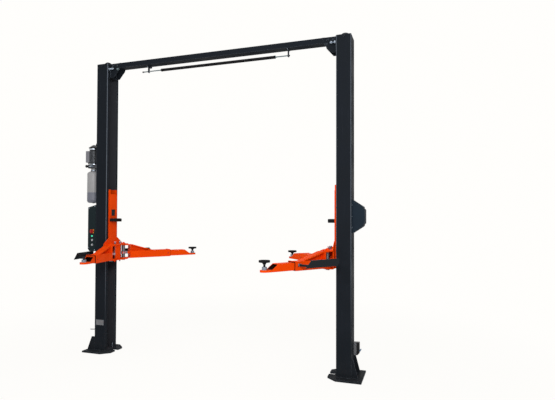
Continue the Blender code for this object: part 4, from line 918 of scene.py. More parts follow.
def prism(outline: Profile, start: float, width: float) -> bmesh.types.BMesh:
    """Push an outline along Y.

    Args:
        outline: Its points of X and Z.
        start: Where it starts along Y.
        width: How far it is pushed.

    Returns:
        The closed mesh, with its normals outward.
    """
    part = bmesh.new()
    face = part.faces.new([part.verts.new((out, start, level)) for out, level in outline])
    grown = bmesh.ops.extrude_face_region(part, geom=[face])
    moved = [item for item in grown["geom"] if isinstance(item, bmesh.types.BMVert)]
    bmesh.ops.translate(part, verts=moved, vec=(0, width, 0))
    bmesh.ops.recalc_face_normals(part, faces=part.faces)
    return part


def settle(shape: bmesh.types.BMesh, name: str, finish: Finish, smooth: float | None = 35.0
           ) -> bpy.types.Object:
    """Turn a bmesh into a finished object at the origin.

    Args:
        shape: The mesh, with its place in it. It is freed.
        name: The piece's name.
        finish: What it is dressed in.
        smooth: The angle in degrees below which edges shade smooth, or None for flat faces.

    Returns:
        The new object.
    """
    bmesh.ops.remove_doubles(shape, verts=shape.verts, dist=1e-6)
    bmesh.ops.recalc_face_normals(shape, faces=shape.faces)
    mesh = bpy.data.meshes.new(name)
    shape.to_mesh(mesh)
    shape.free()
    if smooth is not None:
        mesh.shade_smooth()
        mesh.set_sharp_from_angle(angle=math.radians(smooth))
    made = bpy.data.objects.new(name, mesh)
    bpy.context.scene.collection.objects.link(made)
    mesh.materials.append(finish.material())
    return made


# The studio


@dataclass(frozen=True)
class SoftLamp:
    """A square lamp: where it hangs, the point that it looks at, its side and its power in watts."""

    name: str
    place: Point
    aim: Point
    size: float
    power: float

    def hang(self) -> None:
        """Hang the lamp."""
        light = bpy.data.lights.new(self.name, "AREA")
        light.size = self.size
        light.energy = self.power
        made = bpy.data.objects.new(self.name, light)
        bpy.context.scene.collection.objects.link(made)
        made.location = self.place
        made.rotation_euler = (Vector(self.aim) - Vector(self.place)).to_track_quat("-Z", "Y").to_euler()


LAMPS = (
    SoftLamp("key_lamp", (1.0, -6.5, 6.0), (1.6, 0.0, 1.6), 5.0, 130.0),
    SoftLamp("bay_lamp", (3.9, -4.7, 3.5), (0.8, 0.0, 1.9), 1.4, 140.0),
    SoftLamp("top_lamp", (1.6, 0.0, 8.5), (1.6, 0.0, 0.0), 6.0, 165.0),
)


@dataclass
class Studio:
    """Camera, floor and world."""

    place: Point = (4.0531, -5.0403, 1.7572)
    yaw: float = 0.3154
    pitch: float = 0.0189
    roll: float = 0.0028
    focal_pixels: float = 449.79
    centre: tuple[float, float] = (276.16, 209.89)
    image: tuple[int, int] = (555, 400)
    sensor: float = 36.0
    floor_size: float = 60.0
    pale: Colour = (1.0, 0.992, 0.972)
    fill: float = 0.36
    glow: float = 0.94
    fade_start: float = 2.0
    fade_end: float = 5.5

    @staticmethod
    def seen(wires: Wiring) -> Socket:
        """Mask of the rays by which a surface is looked at, straight, mirrored or through glass."""
        path = wires.add("LightPath").outputs
        seen = wires.math("MAXIMUM", path["Is Camera Ray"], path["Is Glossy Ray"])
        return wires.math("MAXIMUM", seen, path["Is Transmission Ray"])

    def camera(self) -> bpy.types.Object:
        """Stand the camera where the photograph was taken from."""
        lens = bpy.data.cameras.new("photo_camera")
        wide, high = self.image
        lens.sensor_width = self.sensor
        lens.lens = self.focal_pixels * self.sensor / wide
        lens.shift_x = (wide / 2 - self.centre[0]) / wide
        lens.shift_y = (self.centre[1] - high / 2) / wide
        lens.clip_end = 200.0
        made = bpy.data.objects.new("photo_camera", lens)
        bpy.context.scene.collection.objects.link(made)
        turn = (Matrix.Rotation(self.yaw, 4, "Z") @ Matrix.Rotation(math.pi / 2 + self.pitch, 4, "X")
                @ Matrix.Rotation(self.roll, 4, "Z"))
        made.matrix_world = Matrix.Translation(self.place) @ turn
        bpy.context.scene.camera = made
        return made

    def floor(self) -> bpy.types.Object:
        """Lay a pale floor that keeps the lift's shadow."""
        shape = bmesh.new()
        bmesh.ops.create_grid(shape, x_segments=1, y_segments=1, size=self.floor_size / 2)
        mesh = bpy.data.meshes.new("studio_floor")
        shape.to_mesh(mesh)
        shape.free()
        made = bpy.data.objects.new("studio_floor", mesh)
        bpy.context.scene.collection.objects.link(made)
        paint = bpy.data.materials.new("studio_floor")
        paint.use_nodes = True
        paint.node_tree.nodes.clear()
        wires = Wiring(paint.node_tree)
        out = wires.add("OutputMaterial")
        matt = wires.add("BsdfDiffuse")
        matt.inputs["Color"].default_value = (*self.pale, 1.0)
        glow = wires.add("Emission")
        glow.inputs["Color"].default_value = (*self.pale, 1.0)
        both = wires.add("MixShader")
        seen = self.seen(wires)
        away = wires.add("VectorMath", operation="DISTANCE")
        wires.link(wires.place(), away.inputs[0])
        away.inputs[1].default_value = (LIFT.middle, 0.0, 0.0)
        share = wires.spread(away.outputs["Value"], self.fade_start, self.fade_end, self.glow, 1.0)
        wires.link(wires.times(seen, share), both.inputs[0])
        wires.link(matt.outputs[0], both.inputs[1])
        wires.link(glow.outputs[0], both.inputs[2])
        wires.link(both.outputs[0], out.inputs["Surface"])
        mesh.materials.append(paint)
        return made

    def world(self) -> None:
        """Surround the lift with a pale sky that lights it plainly."""
        world = bpy.data.worlds.new("studio_world")
        bpy.context.scene.world = world
        world.use_nodes = True
        world.node_tree.nodes.clear()
        wires = Wiring(world.node_tree)
        out = wires.add("OutputWorld")
        sky = wires.add("Background")
        sky.inputs["Color"].default_value = (*self.pale, 1.0)
        wires.link(wires.spread(self.seen(wires), 0.0, 1.0, self.fill, 1.0), sky.inputs["Strength"])
        wires.link(sky.outputs[0], out.inputs["Surface"])

    def build(self) -> None:
        """Set the whole studio up."""
        self.camera()
        self.floor()
        self.world()
        for lamp in LAMPS:
            lamp.hang()
        bpy.context.scene.view_settings.view_transform = "Standard"


# The lift's own nodes


COATS: tuple[tuple[str, Finish], ...] = (
    ("bar_sleeve", BLACK_RUBBER), ("limit_bar", DULL_ZINC), ("sheave_", CAST_ENAMEL),
    ("cylinder_", GUARD_ENAMEL), ("ram_", CHROME), ("carriage_", ARM_ENAMEL),
    ("door_buffer", BLACK_RUBBER), ("outer_arm", ARM_ENAMEL), ("inner_arm", ARM_ENAMEL),
    ("pad_", BLACK_RUBBER), ("toe_guard", GUARD_ENAMEL), ("arm_lock_left_front", ARM_ENAMEL),
    ("arm_lock_right_front", ARM_ENAMEL), ("arm_lock", ZINC), ("oil_tank", TANK_PLASTIC),
    ("valve_block", BLOCK_METAL), ("pump_motor", CAST_ENAMEL), ("terminal_box", LILAC_ENAMEL),
    ("lowering_lever", CHROME), ("pressure_hose", BLACK_RUBBER), ("control_box", BOX_PLASTIC),
    ("button_", GREY_PLASTIC), ("isolator_plate", YELLOW_ENAMEL), ("isolator_knob", RED_PLASTIC),
    ("lock_cover", COVER_PLASTIC), ("foot_box", PALE_ENAMEL),
)


def paint_nodes() -> None:
    """Dress every CAD node by the start of its name, or else in the columns' enamel."""
    for name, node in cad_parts.items():
        finish = next((coat for start, coat in COATS if name.startswith(start)), COLUMN_ENAMEL)
        node.data.materials.clear()
        node.data.materials.append(finish.material())
    LOG.info("dressed %d nodes", len(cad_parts))


# The small pieces


@dataclass(frozen=True)
class Piece:
    """One small piece: its name, its looks, what draws it and the body that it rides on."""

    name: str
    finish: Finish
    draw: Callable[[Sketch], None]
    body: str = "frame"
    smooth: float | None = 35.0


class Trim(ABC):
    """A sub-assembly's small pieces, each drawn on a bench of its own."""

    side: Side

    @property
    def ground(self) -> Matrix:
        """The frame in which the pieces are drawn."""
        return LIFT.station(self.side)

    @abstractmethod
    def pieces(self) -> Sequence[Piece]:
        """List the pieces in the order in which they are made."""

    def build(self) -> None:
        """Draw every piece and let it ride on its body."""
        for piece in self.pieces():
            bench = Sketch(self.ground)
            piece.draw(bench)
            bench.done(piece.name, piece.finish, piece.body, piece.smooth)


@dataclass
class Footing(Trim):
    """What stands on a floor plate: weld beads and the rope's anchor stud."""

    side: Side
    bead: float = 0.0045
    gusset_at: float = 0.100
    gusset_half: float = 0.0055

    @property
    def gusset(self) -> tuple[float, float]:
        """How high a gusset stands and how far it reaches out."""
        return (0.170, 0.112) if self.side is Side.LEFT else (0.200, 0.068)

    def pieces(self) -> Sequence[Piece]:
        """The beads and the stud."""
        return (Piece(f"foot_welds_{self.side.value}", COLUMN_ENAMEL, self.welds),
                Piece(f"rope_stud_nuts_{self.side.value}", ZINC, self.stud))

    def welds(self, bench: Sketch) -> None:
        """Lay the beads round the column's foot and along the gussets."""
        level = LIFT.plate + 0.001
        half, inner, outer = LIFT.half_width, LIFT.face + 0.008, LIFT.outer
        tall, reach = self.gusset
        for sign in BOTH:
            side = sign * half
            bench.weld((inner, side, level), (outer - 0.010, side, level), self.bead)
            bench.weld((LIFT.face, sign * (half - 0.008), level),
                       (LIFT.face, sign * (half - 0.040), level), self.bead)
            for edge in BOTH:
                spot = sign * self.gusset_at + edge * self.gusset_half
                bench.weld((outer + 0.004, spot, level), (outer + reach - 0.003, spot, level),
                           self.bead * 0.8)
                bench.weld((outer + 0.001, spot, level + 0.006),
                           (outer + 0.001, spot, level + tall - 0.010), self.bead * 0.8)
        bench.weld((outer + 0.0005, -half + 0.012, level), (outer + 0.0005, half - 0.012, level), self.bead)

    def stud(self, bench: Sketch) -> None:
        """Stand the equaliser rope's bright stud and its nuts on the plate."""
        spot = (LIFT.face + 0.040, -LIFT.half_width + 0.027)
        bench.thread((*spot, LIFT.plate), UP, 0.0075, 0.0570)
        for foot in (LIFT.plate + 0.019, LIFT.plate + 0.030):
            bench.rod((*spot, foot), (*spot, foot + 0.0095), 0.0140, HEXAGON, soft=0.0014)


@dataclass
class ColumnHead(Trim):
    """The studs of the beam bracket, the sheave's spacers and rope, and the axle's rings."""

    side: Side
    axle: float = 3.783
    stud_level: float = 3.730
    corner_out: float = 1.400
    corner_level: float = 3.728
    cheek: float = 0.0603
    rope_radius: float = 0.0692
    rope_wire: float = 0.0040
    strands: int = 64

    @property
    def middle(self) -> float:
        """How far out the sheave's axle is."""
        return (LIFT.face + LIFT.outer) / 2

    def pieces(self) -> Sequence[Piece]:
        """The head's pieces."""
        tag = self.side.value
        corner = DULL_ZINC if self.side is Side.LEFT else COLUMN_ENAMEL
        return (
            Piece(f"lip_studs_{tag}", ZINC, self.studs),
            Piece(f"cheek_bolts_{tag}", COLUMN_ENAMEL, self.cheeks),
            Piece(f"corner_bolt_{tag}", corner, self.corner_bolt),
            Piece(f"axle_rings_{tag}", CAST_ENAMEL, self.axle_rings),
            Piece(f"rope_turn_{tag}", SPRING_STEEL, self.rope, f"sheave_{tag}"),
            Piece(f"edge_roller_{tag}", DULL_ZINC, self.roller),
            Piece(f"bracket_welds_{tag}", COLUMN_ENAMEL, self.welds),
        )

    def studs(self, bench: Sketch) -> None:
        """Place the long lip studs with a nut at each end."""
        seat = LIFT.face - 0.0063
        for sign in BOTH:
            spot = (sign * 0.090, self.stud_level)
            bench.bolt((seat, *spot), INWARD, 0.0155, 0.0190)
            bench.thread((seat - 0.018, *spot), INWARD, 0.0093, 0.0525)
            bench.rod((seat - 0.044, *spot), (seat - 0.058, *spot), 0.0155, HEXAGON, soft=0.0015)

    def cheeks(self, bench: Sketch) -> None:
        """Place the bolts that join the beam to the bracket's cheeks."""
        for sign, out in product(BOTH, (0.040, 0.105)):
            place = (LIFT.face - out, sign * self.cheek, LIFT.beam_bottom + 0.030)
            bench.bolt(place, (0, sign, 0), 0.0105, 0.0090)

    def corner_bolt(self, bench: Sketch) -> None:
        """Place the big bolt at the low corner of the bracket's front cheek."""
        front = LIFT.fore(self.side)
        bench.bolt((self.corner_out, front * self.cheek, self.corner_level), (0, front, 0),
                   0.0150, 0.0150, 1.15, 0.006)

    def axle_rings(self, bench: Sketch) -> None:
        """Turn the keeper rings at the axle's ends and its spacers beside the sheave."""
        bore, tube, length = 0.0127, 0.0200, 0.0915
        spacer = [(bore, 0.0), (0.0240, 0.0), (0.0240, 0.0040), (tube, 0.0060), (tube, length),
                  (bore, length), (bore, 0.0)]
        for sign in BOTH:
            bench.ring((self.middle, sign * (LIFT.half_width + 0.0035), self.axle), ASIDE, 0.0140, 0.0018)
            bench.lathe((self.middle, sign * 0.0165, self.axle), (0, sign, 0), spacer)

    def rope(self, bench: Sketch) -> None:
        """Wind the wire rope's turn in the sheave's groove, with its strands."""
        radius, wire, sides = self.rope_radius, self.rope_wire, 8
        part = bmesh.new()
        angles = [math.tau * i / sides for i in range(sides)]
        section = [part.verts.new((radius + wire * math.cos(angle), 0.0, wire * math.sin(angle)))
                   for angle in angles]
        edges = [part.edges.new((section[i], section[(i + 1) % sides])) for i in range(sides)]
        bmesh.ops.spin(part, geom=section + edges, cent=ORIGIN, axis=UP, angle=math.tau,
                       steps=self.strands * 2, use_merge=True)
        for vert in part.verts:
            turn = math.atan2(vert.co.y, vert.co.x)
            away = math.hypot(vert.co.x, vert.co.y)
            lay = math.atan2(vert.co.z, away - radius)
            swell = 0.90 + 0.10 * math.cos(turn * self.strands + 3.0 * lay)
            grown = (radius + (away - radius) * swell) / away
            vert.co.x *= grown
            vert.co.y *= grown
            vert.co.z *= swell
        bench.take(part, looking((self.middle, 0.0, self.axle), ASIDE))

    def roller(self, bench: Sketch) -> None:
        """Place the small roller that guides the rope over the column's inner edge."""
        out, level = LIFT.face + 0.019, LIFT.height + 0.004
        bench.rod((out, -0.022, level), (out, 0.022, level), 0.0120, 24, soft=0.0010)
        bench.rod((out, -0.034, level), (out, 0.034, level), 0.0050, 16, soft=0.0006)
        for sign in BOTH:
            bench.slab(sign, (out - 0.0105, 0.0245, level - 0.060), (out + 0.0105, 0.0305, level + 0.009),
                       0.0015)

    def welds(self, bench: Sketch) -> None:
        """Lay the beads between the bracket's cheeks and its end plate."""
        seat = LIFT.face - 0.0063
        for sign, edge in product(BOTH, (0.0540, 0.0610)):
            spot = sign * edge
            bench.weld((seat, spot, LIFT.height - 0.165), (seat, spot, LIFT.height - 0.088), 0.0035)


@dataclass
class LimitBar(Trim):
    """What hangs under the beam: the bar's tips, the hangers' screws and the switch."""

    bar: float = 3.672
    right_pivot: float = LIFT.middle + 0.9365
    left_pivot: float = LIFT.middle - 0.9655
    sleeve: float = 0.775
    top: float = 3.7467
    switch_drop: float = 0.021

    @property
    def ground(self) -> Matrix:
        """The lift's own frame."""
        return Matrix.Identity(4)

    def pieces(self) -> Sequence[Piece]:
        """The bar's small pieces."""
        return (Piece("bar_tips", BLACK_RUBBER, self.tips, "limit_bar"),
                Piece("bar_washers", ZINC, self.hinge, "limit_bar"),
                Piece("hanger_screws", ZINC, self.feet),
                Piece("switch_lid", BLACK_PLASTIC, self.switch))

    def tips(self, bench: Sketch) -> None:
        """Put rubber tips on the bar's ends and round the sleeve's two ends."""
        for end, way in ((self.left_pivot - 0.0925, -1.0), (self.right_pivot + 0.014, 1.0)):
            bench.rod((end - way * 0.020, 0, self.bar), (end + way * 0.003, 0, self.bar), 0.0088, 20,
                      soft=0.0015)
        wide = 0.0190
        ring = [(0.0176, -0.012), (wide, -0.011), (wide, -0.003), (0.0182, 0.0), (0.0125, 0.0004)]
        for way in BOTH:
            bench.lathe((LIFT.middle + way * self.sleeve, 0, self.bar), (way, 0, 0), ring)

    def hinge(self, bench: Sketch) -> None:
        """Place the right hanger's two washers with their split pins on the bar."""
        bore, rim, thick = 0.0066, 0.0118, 0.0016
        for way in BOTH:
            bench.lathe((self.right_pivot + way * 0.0066, 0, self.bar), (way, 0, 0),
                        [(bore, 0.0), (rim, 0.0), (rim, thick), (bore, thick)], 24)
            out = self.right_pivot + way * 0.0105
            bench.rod((out, 0, self.bar - 0.011), (out, 0, self.bar + 0.011), 0.0012, 8)

    def feet(self, bench: Sketch) -> None:
        """Place the screws that hold both hangers' feet up against the beam."""
        feet = ((self.right_pivot, 0.006), (self.left_pivot, self.switch_drop))
        for (out, drop), sign in product(feet, BOTH):
            bench.bolt((out, sign * 0.036, self.top - drop), DOWN, 0.0055, 0.0050)

    def switch(self, bench: Sketch) -> None:
        """Add the limit switch's lid, its cable gland and its roller plunger."""
        out, low, lid = self.left_pivot, self.top - self.switch_drop, 0.0480
        level = low + 0.010
        for face in BOTH:
            bench.slab(face, (out - 0.0155, 0.0462, low + 0.002), (out + 0.0155, lid, self.top - 0.003),
                       0.0006, 1)
            for spot in BOTH:
                screw = out + spot * 0.0115
                bench.rod((screw, face * lid, level), (screw, face * (lid + 0.0010), level), 0.0020, 12)
        start = out - 0.0176
        bench.rod((start, 0.030, level), (out - 0.0290, 0.030, level), 0.0068, 16, soft=0.0010)
        bench.rod((start, 0.030, level), (out - 0.0210, 0.030, level), 0.0082, HEXAGON, soft=0.0008)


@dataclass
class CarriageTrim(Trim):
    """Bolts, pins, lock gear and beads of one carriage."""

    side: Side
    lock_head_foot: float = 1.4335
    coil_foot: float = 1.3085
    coil_length: float = 0.0720
    shield: tuple[float, float] = (1.4050, 1.4090)
    bead: float = 0.0042

    def pieces(self) -> Sequence[Piece]:
        """The carriage's small pieces."""
        tag = self.side.value
        body = f"carriage_{tag}"
        coils = (Piece(f"lock_coil_{tag}_{end.value}", ZINC, partial(self.lock_coil, end),
                       f"lock_{tag}_{end.value}") for end in End)
        heads = (Piece(f"lock_head_{tag}_{end.value}", ZINC, partial(self.lock_head, end),
                       f"lock_{tag}_{end.value}") for end in End)
        return (
            Piece(f"carriage_bolts_{tag}", ARM_ENAMEL, self.bolts, body),
            Piece(f"arm_pins_{tag}", CAST_METAL, self.pins, body),
            Piece(f"lock_guides_{tag}", ZINC, self.lock_guides, body),
            *coils,
            Piece(f"clevis_plates_{tag}", ARM_ENAMEL, self.back_plates, body),
            *heads,
            Piece(f"carriage_welds_{tag}", ARM_ENAMEL, self.welds, body),
            Piece(f"window_plate_{tag}", GUARD_ENAMEL, self.window, body),
            Piece(f"slide_strips_{tag}", WHITE_NYLON, self.strips, body),
            Piece(f"lock_springs_{tag}", ZINC, self.springs, body),
            Piece(f"buffer_ribs_{tag}", BLACK_RUBBER, self.buffer, body),
        )

    def lock(self, end: End) -> tuple[float, float]:
        """Where an arm lock stands, seen from above."""
        sign = LIFT.fore(self.side) * (1.0 if end is End.FRONT else -1.0)
        return LIFT.pivot_out, sign * LIFT.lock_spread

    def bolts(self, bench: Sketch) -> None:
        """Place the painted flare bolts and the arm pins' heads and nuts."""
        head, top = 0.0210, 0.0090
        cap = [(0.0, 0.0), (0.0260, 0.0), (0.0260, 0.0035), (0.0235, 0.0045), (head, 0.0045),
               (head, 0.0075), (0.0190, top), (0.0, top)]
        for sign in BOTH:
            bench.bolt((LIFT.carriage_face, sign * 0.062, LIFT.carriage_foot + 0.229), INWARD, 0.0105, 0.0110)
            pin = (LIFT.pivot_out, sign * LIFT.pivot_spread)
            bench.lathe((*pin, LIFT.clevis_top), UP, cap, 32)
            bench.bolt((*pin, LIFT.clevis_top + 0.008), UP, 0.0125, 0.0120)

    def pins(self, bench: Sketch) -> None:
        """Turn the bright arm pins between the clevis plates, with their lower rings."""
        rim, thick = 0.0206, 0.0120
        for sign in BOTH:
            pin = (LIFT.pivot_out, sign * LIFT.pivot_spread)
            bench.rod((*pin, LIFT.carriage_foot + 0.0122), (*pin, LIFT.clevis_top - 0.0122), 0.0201, 32)
            bench.lathe((*pin, LIFT.carriage_foot - 0.0125), UP,
                        [(0.0, 0.0), (0.0190, 0.0), (rim, 0.0016), (rim, thick), (0.0, thick)], 32)
            bench.ring((*pin, LIFT.carriage_foot - 0.0050), UP, 0.0212, 0.0013)

    def lock_guides(self, bench: Sketch) -> None:
        """Fold a bright tray with two uprights round each arm lock."""
        low, high = LIFT.carriage_foot + 0.0330, LIFT.clevis_top - 0.0125
        start, fold, stop = LIFT.pivot_out - 0.0205, LIFT.pivot_out - 0.0180, LIFT.pivot_out + 0.0200
        for sign in BOTH:
            bench.slab(sign, (start, 0.0270, low), (stop, 0.0750, low + 0.0030), 0.0006, 1)
            for inner in (0.0280, 0.0630):
                bench.slab(sign, (start, inner, low), (fold, inner + 0.0120, high), 0.0006, 1)

    def lock_coil(self, end: End, bench: Sketch) -> None:
        """Wind the bright coil that presses an arm lock down."""
        bench.coil((*self.lock(end), self.coil_foot), UP, 0.0150, 0.0022, self.coil_length, 7)

    def back_plates(self, bench: Sketch) -> None:
        """Carry the flare down behind the clevis and shield the front arm's lock."""
        low, high = LIFT.carriage_foot + 0.0122, LIFT.clevis_top - 0.0122
        face = LIFT.carriage_face
        for sign in BOTH:
            bench.slab(sign, (face + 0.0002, 0.0720, low), (face + 0.0078, 0.1720, high), 0.0010, 1)
        start, stop = self.shield
        bench.slab(LIFT.fore(self.side), (start, 0.0255, low), (stop, 0.0740, high), 0.0012, 1)

    def lock_head(self, end: End, bench: Sketch) -> None:
        """Turn the bright pull head on top of an arm lock."""
        rim = 0.0148
        bench.lathe((*self.lock(end), self.lock_head_foot), UP,
                    [(0.0, 0.0), (0.0130, 0.0), (rim, 0.0020), (rim, 0.0095), (0.0125, 0.0128),
                     (0.0, 0.0132)])

    def welds(self, bench: Sketch) -> None:
        """Lay the beads where the clevis plates meet the flare."""
        face = LIFT.carriage_face - 0.001
        for level in (LIFT.clevis_top + 0.001, LIFT.carriage_foot + 0.0135):
            bench.weld((face, -0.165, level), (face, 0.165, level), self.bead)
        for sign in BOTH:
            bench.weld((face, sign * 0.026, LIFT.carriage_foot + 0.016),
                       (face, sign * 0.026, LIFT.clevis_top - 0.014), self.bead)

    def window(self, bench: Sketch) -> None:
        """Bolt a dark plate that shows through the carriage's window."""
        inside, foot = LIFT.carriage_face + 0.008, LIFT.carriage_foot + 0.583
        wide, narrow = 0.0560, 0.0180
        bench.block((inside + 0.0003, -wide, foot - 0.022), (inside + 0.0045, wide, foot + 0.107), 0.0010, 1)
        bench.block((inside - 0.0040, -narrow, foot + 0.012), (inside + 0.0008, narrow, foot + 0.073),
                    0.0012, 1)
        for sign, rise in product(BOTH, (0.010, 0.075)):
            bench.bolt((inside - 0.0002, sign * 0.030, foot + rise), INWARD, 0.0042, 0.0042)

    def strips(self, bench: Sketch) -> None:
        """Cap the slide blocks with the pale nylon strips that run in the column."""
        for rise, sign in product((0.140, 0.850), BOTH):
            level = LIFT.carriage_foot + rise
            bench.slab(sign, (LIFT.face + 0.0120, 0.0690, level + 0.0003),
                       (LIFT.outer - 0.0120, 0.1070, level + 0.0080), 0.0015)

    def springs(self, bench: Sketch) -> None:
        """Put a coil spring round each arm lock's shaft, on the clevis."""
        for sign in BOTH:
            place = (LIFT.pivot_out, sign * LIFT.lock_spread, LIFT.clevis_top + 0.0005)
            bench.coil(place, UP, 0.0108, 0.0013, 0.0190, 5)

    def buffer(self, bench: Sketch) -> None:
        """Rib the door buffer's top."""
        level, front = LIFT.carriage_foot + 0.527, LIFT.carriage_face - 0.0753
        for step in range(6):
            spot = -0.060 + 0.024 * step
            bench.block((front + 0.006, spot - 0.004, level + 0.0200),
                        (front + 0.069, spot + 0.004, level + 0.0225), 0.001, 1)


@dataclass
class ArmTrim(Trim):
    """Beads, bolts and bright gear of one swing arm, with dark bands of painted shade at its tubes' ends."""

    arm: Arm
    gear_root: float = 0.0505
    gear_tip: float = 0.0553
    gear_teeth: int = 16
    tube_wall: float = 0.0444
    inner_half: float = 0.0514
    inner_height: float = 0.078
    guard_heel: float = 0.483

    @property
    def ground(self) -> Matrix:
        """The arm's own frame."""
        return self.arm.base()

    def pieces(self) -> Sequence[Piece]:
        """The arm's small pieces."""
        tag = self.arm.name
        body = f"arm_{tag}"
        return (
            Piece(f"arm_gear_{tag}", ZINC, self.gear, body, 20.0),
            Piece(f"stop_screws_{tag}", SPRING_STEEL, self.screws, body),
            # The next two pieces are painted shade: dark sheets in the inner tube's end and round the outer
            # tube's mouth.
            Piece(f"painted_tube_shade_{tag}", TUBE_SHADE, self.inner_shade, f"slide_{tag}", None),
            Piece(f"mouth_shade_{tag}", TUBE_SHADE, self.mouth, body, None),
            Piece(f"guard_bolts_{tag}", ZINC, self.guard, body),
            Piece(f"arm_welds_{tag}", ARM_ENAMEL, self.welds, body),
        )

    def gear(self, bench: Sketch) -> None:
        """Turn the bright toothed disc that the arm lock bites."""
        disc = bmesh.new()
        bmesh.ops.create_cone(disc, cap_ends=True, segments=96, radius1=self.gear_root,
                              radius2=self.gear_root, depth=0.0306)
        for vert in disc.verts:
            turn = math.atan2(vert.co.y, vert.co.x) % math.tau * self.gear_teeth / math.tau % 1.0
            if turn < 0.62:
                grown = self.gear_tip / self.gear_root
                vert.co.x *= grown
                vert.co.y *= grown
        bench.take(disc, Matrix.Translation((0.0, 0.0, LIFT.arm_foot + 0.0750)))

    def screws(self, bench: Sketch) -> None:
        """Place the socket screws in the arm's stops."""
        level = LIFT.arm_foot + LIFT.arm_height / 2
        head, deep = 0.0062, 0.0012
        profile = [(head, 0.0), (head, 0.0022), (0.0054, 0.0030), (0.0032, 0.0030), (0.0030, deep),
                   (0.0, deep)]
        for sign in BOTH:
            bench.lathe((self.arm.length - 0.030, sign * (LIFT.arm_half + 0.0060), level), (0, sign, 0),
                        profile, 20)

    def inner_shade(self, bench: Sketch) -> None:
        """Line the inner tube's open end with a dark sheet of painted shade."""
        reach = self.arm.reach
        low, high = LIFT.inner_foot + 0.0226, LIFT.inner_foot + 0.0714
        outline = [(reach - 0.200, low), (reach - 0.0660, low), (reach - 0.1350, high), (reach - 0.200, high)]
        shell = prism(outline, -self.tube_wall, self.tube_wall * 2)
        mouth = [item for item in shell.faces if item.normal.x > 0.3 and item.normal.z > 0.3]
        bmesh.ops.delete(shell, geom=mouth, context="FACES_ONLY")
        bmesh.ops.solidify(shell, geom=shell.faces[:], thickness=0.0006)
        bench.take(shell)

    def mouth(self, bench: Sketch) -> None:
        """Fit a dark band of painted shade between the outer tube's mouth and the inner tube."""
        start, stop = self.arm.length - 0.001, self.arm.length + 0.008
        foot, top = LIFT.arm_foot + 0.0012, LIFT.arm_foot + LIFT.arm_height - 0.0012
        over = LIFT.inner_foot + self.inner_height + 0.0006
        wide = self.inner_half + 0.001
        for sign in BOTH:
            bench.slab(sign, (start, self.inner_half, foot), (stop, LIFT.arm_half - 0.0020, top), 0.0012, 1)
        bench.block((start, -wide, over), (stop, wide, top), 0.0012, 1)
        bench.block((start, -wide, foot), (stop, wide, LIFT.inner_foot - 0.0006), 0.0008, 1)

    def guard(self, bench: Sketch) -> None:
        """Bolt the toe guard's brace and its stay to the side of the arm."""
        away, foot, pad = self.arm.away, LIFT.arm_foot + 0.040, 0.0640
        for spot in (0.127, 0.143):
            bench.bolt((spot, away * 0.0720, foot + 0.006), UP, 0.0060, 0.0055)
        heel = min(self.arm.length - 0.0435, self.guard_heel)
        bench.slab(away, (heel - 0.030, 0.0604, foot + 0.004), (heel + 0.012, pad, foot + 0.034), 0.0010, 1)
        bench.bolt((heel - 0.004, away * pad, foot + 0.019), (0, away, 0), 0.0085, 0.0090)

    def welds(self, bench: Sketch) -> None:
        """Lay the beads round the arm's root, along its strap and round its collar."""
        half, foot, edge = LIFT.arm_half, LIFT.arm_foot, 0.0460
        top = foot + LIFT.arm_height
        root, collar, thin = 0.089, self.arm.length - 0.0225, 0.0030
        for sign in BOTH:
            side, strap = sign * half, sign * edge
            bench.weld((root, side, foot + 0.004), (root, side, top - 0.004), 0.0038)
            bench.weld((0.180, strap, top + 0.0005), (0.330, strap, top + 0.0005), 0.0034)
            bench.weld((collar, side, foot + 0.006), (collar, side, top - 0.004), thin)
        bench.weld((collar, -half + 0.004, top), (collar, half - 0.004, top), thin)


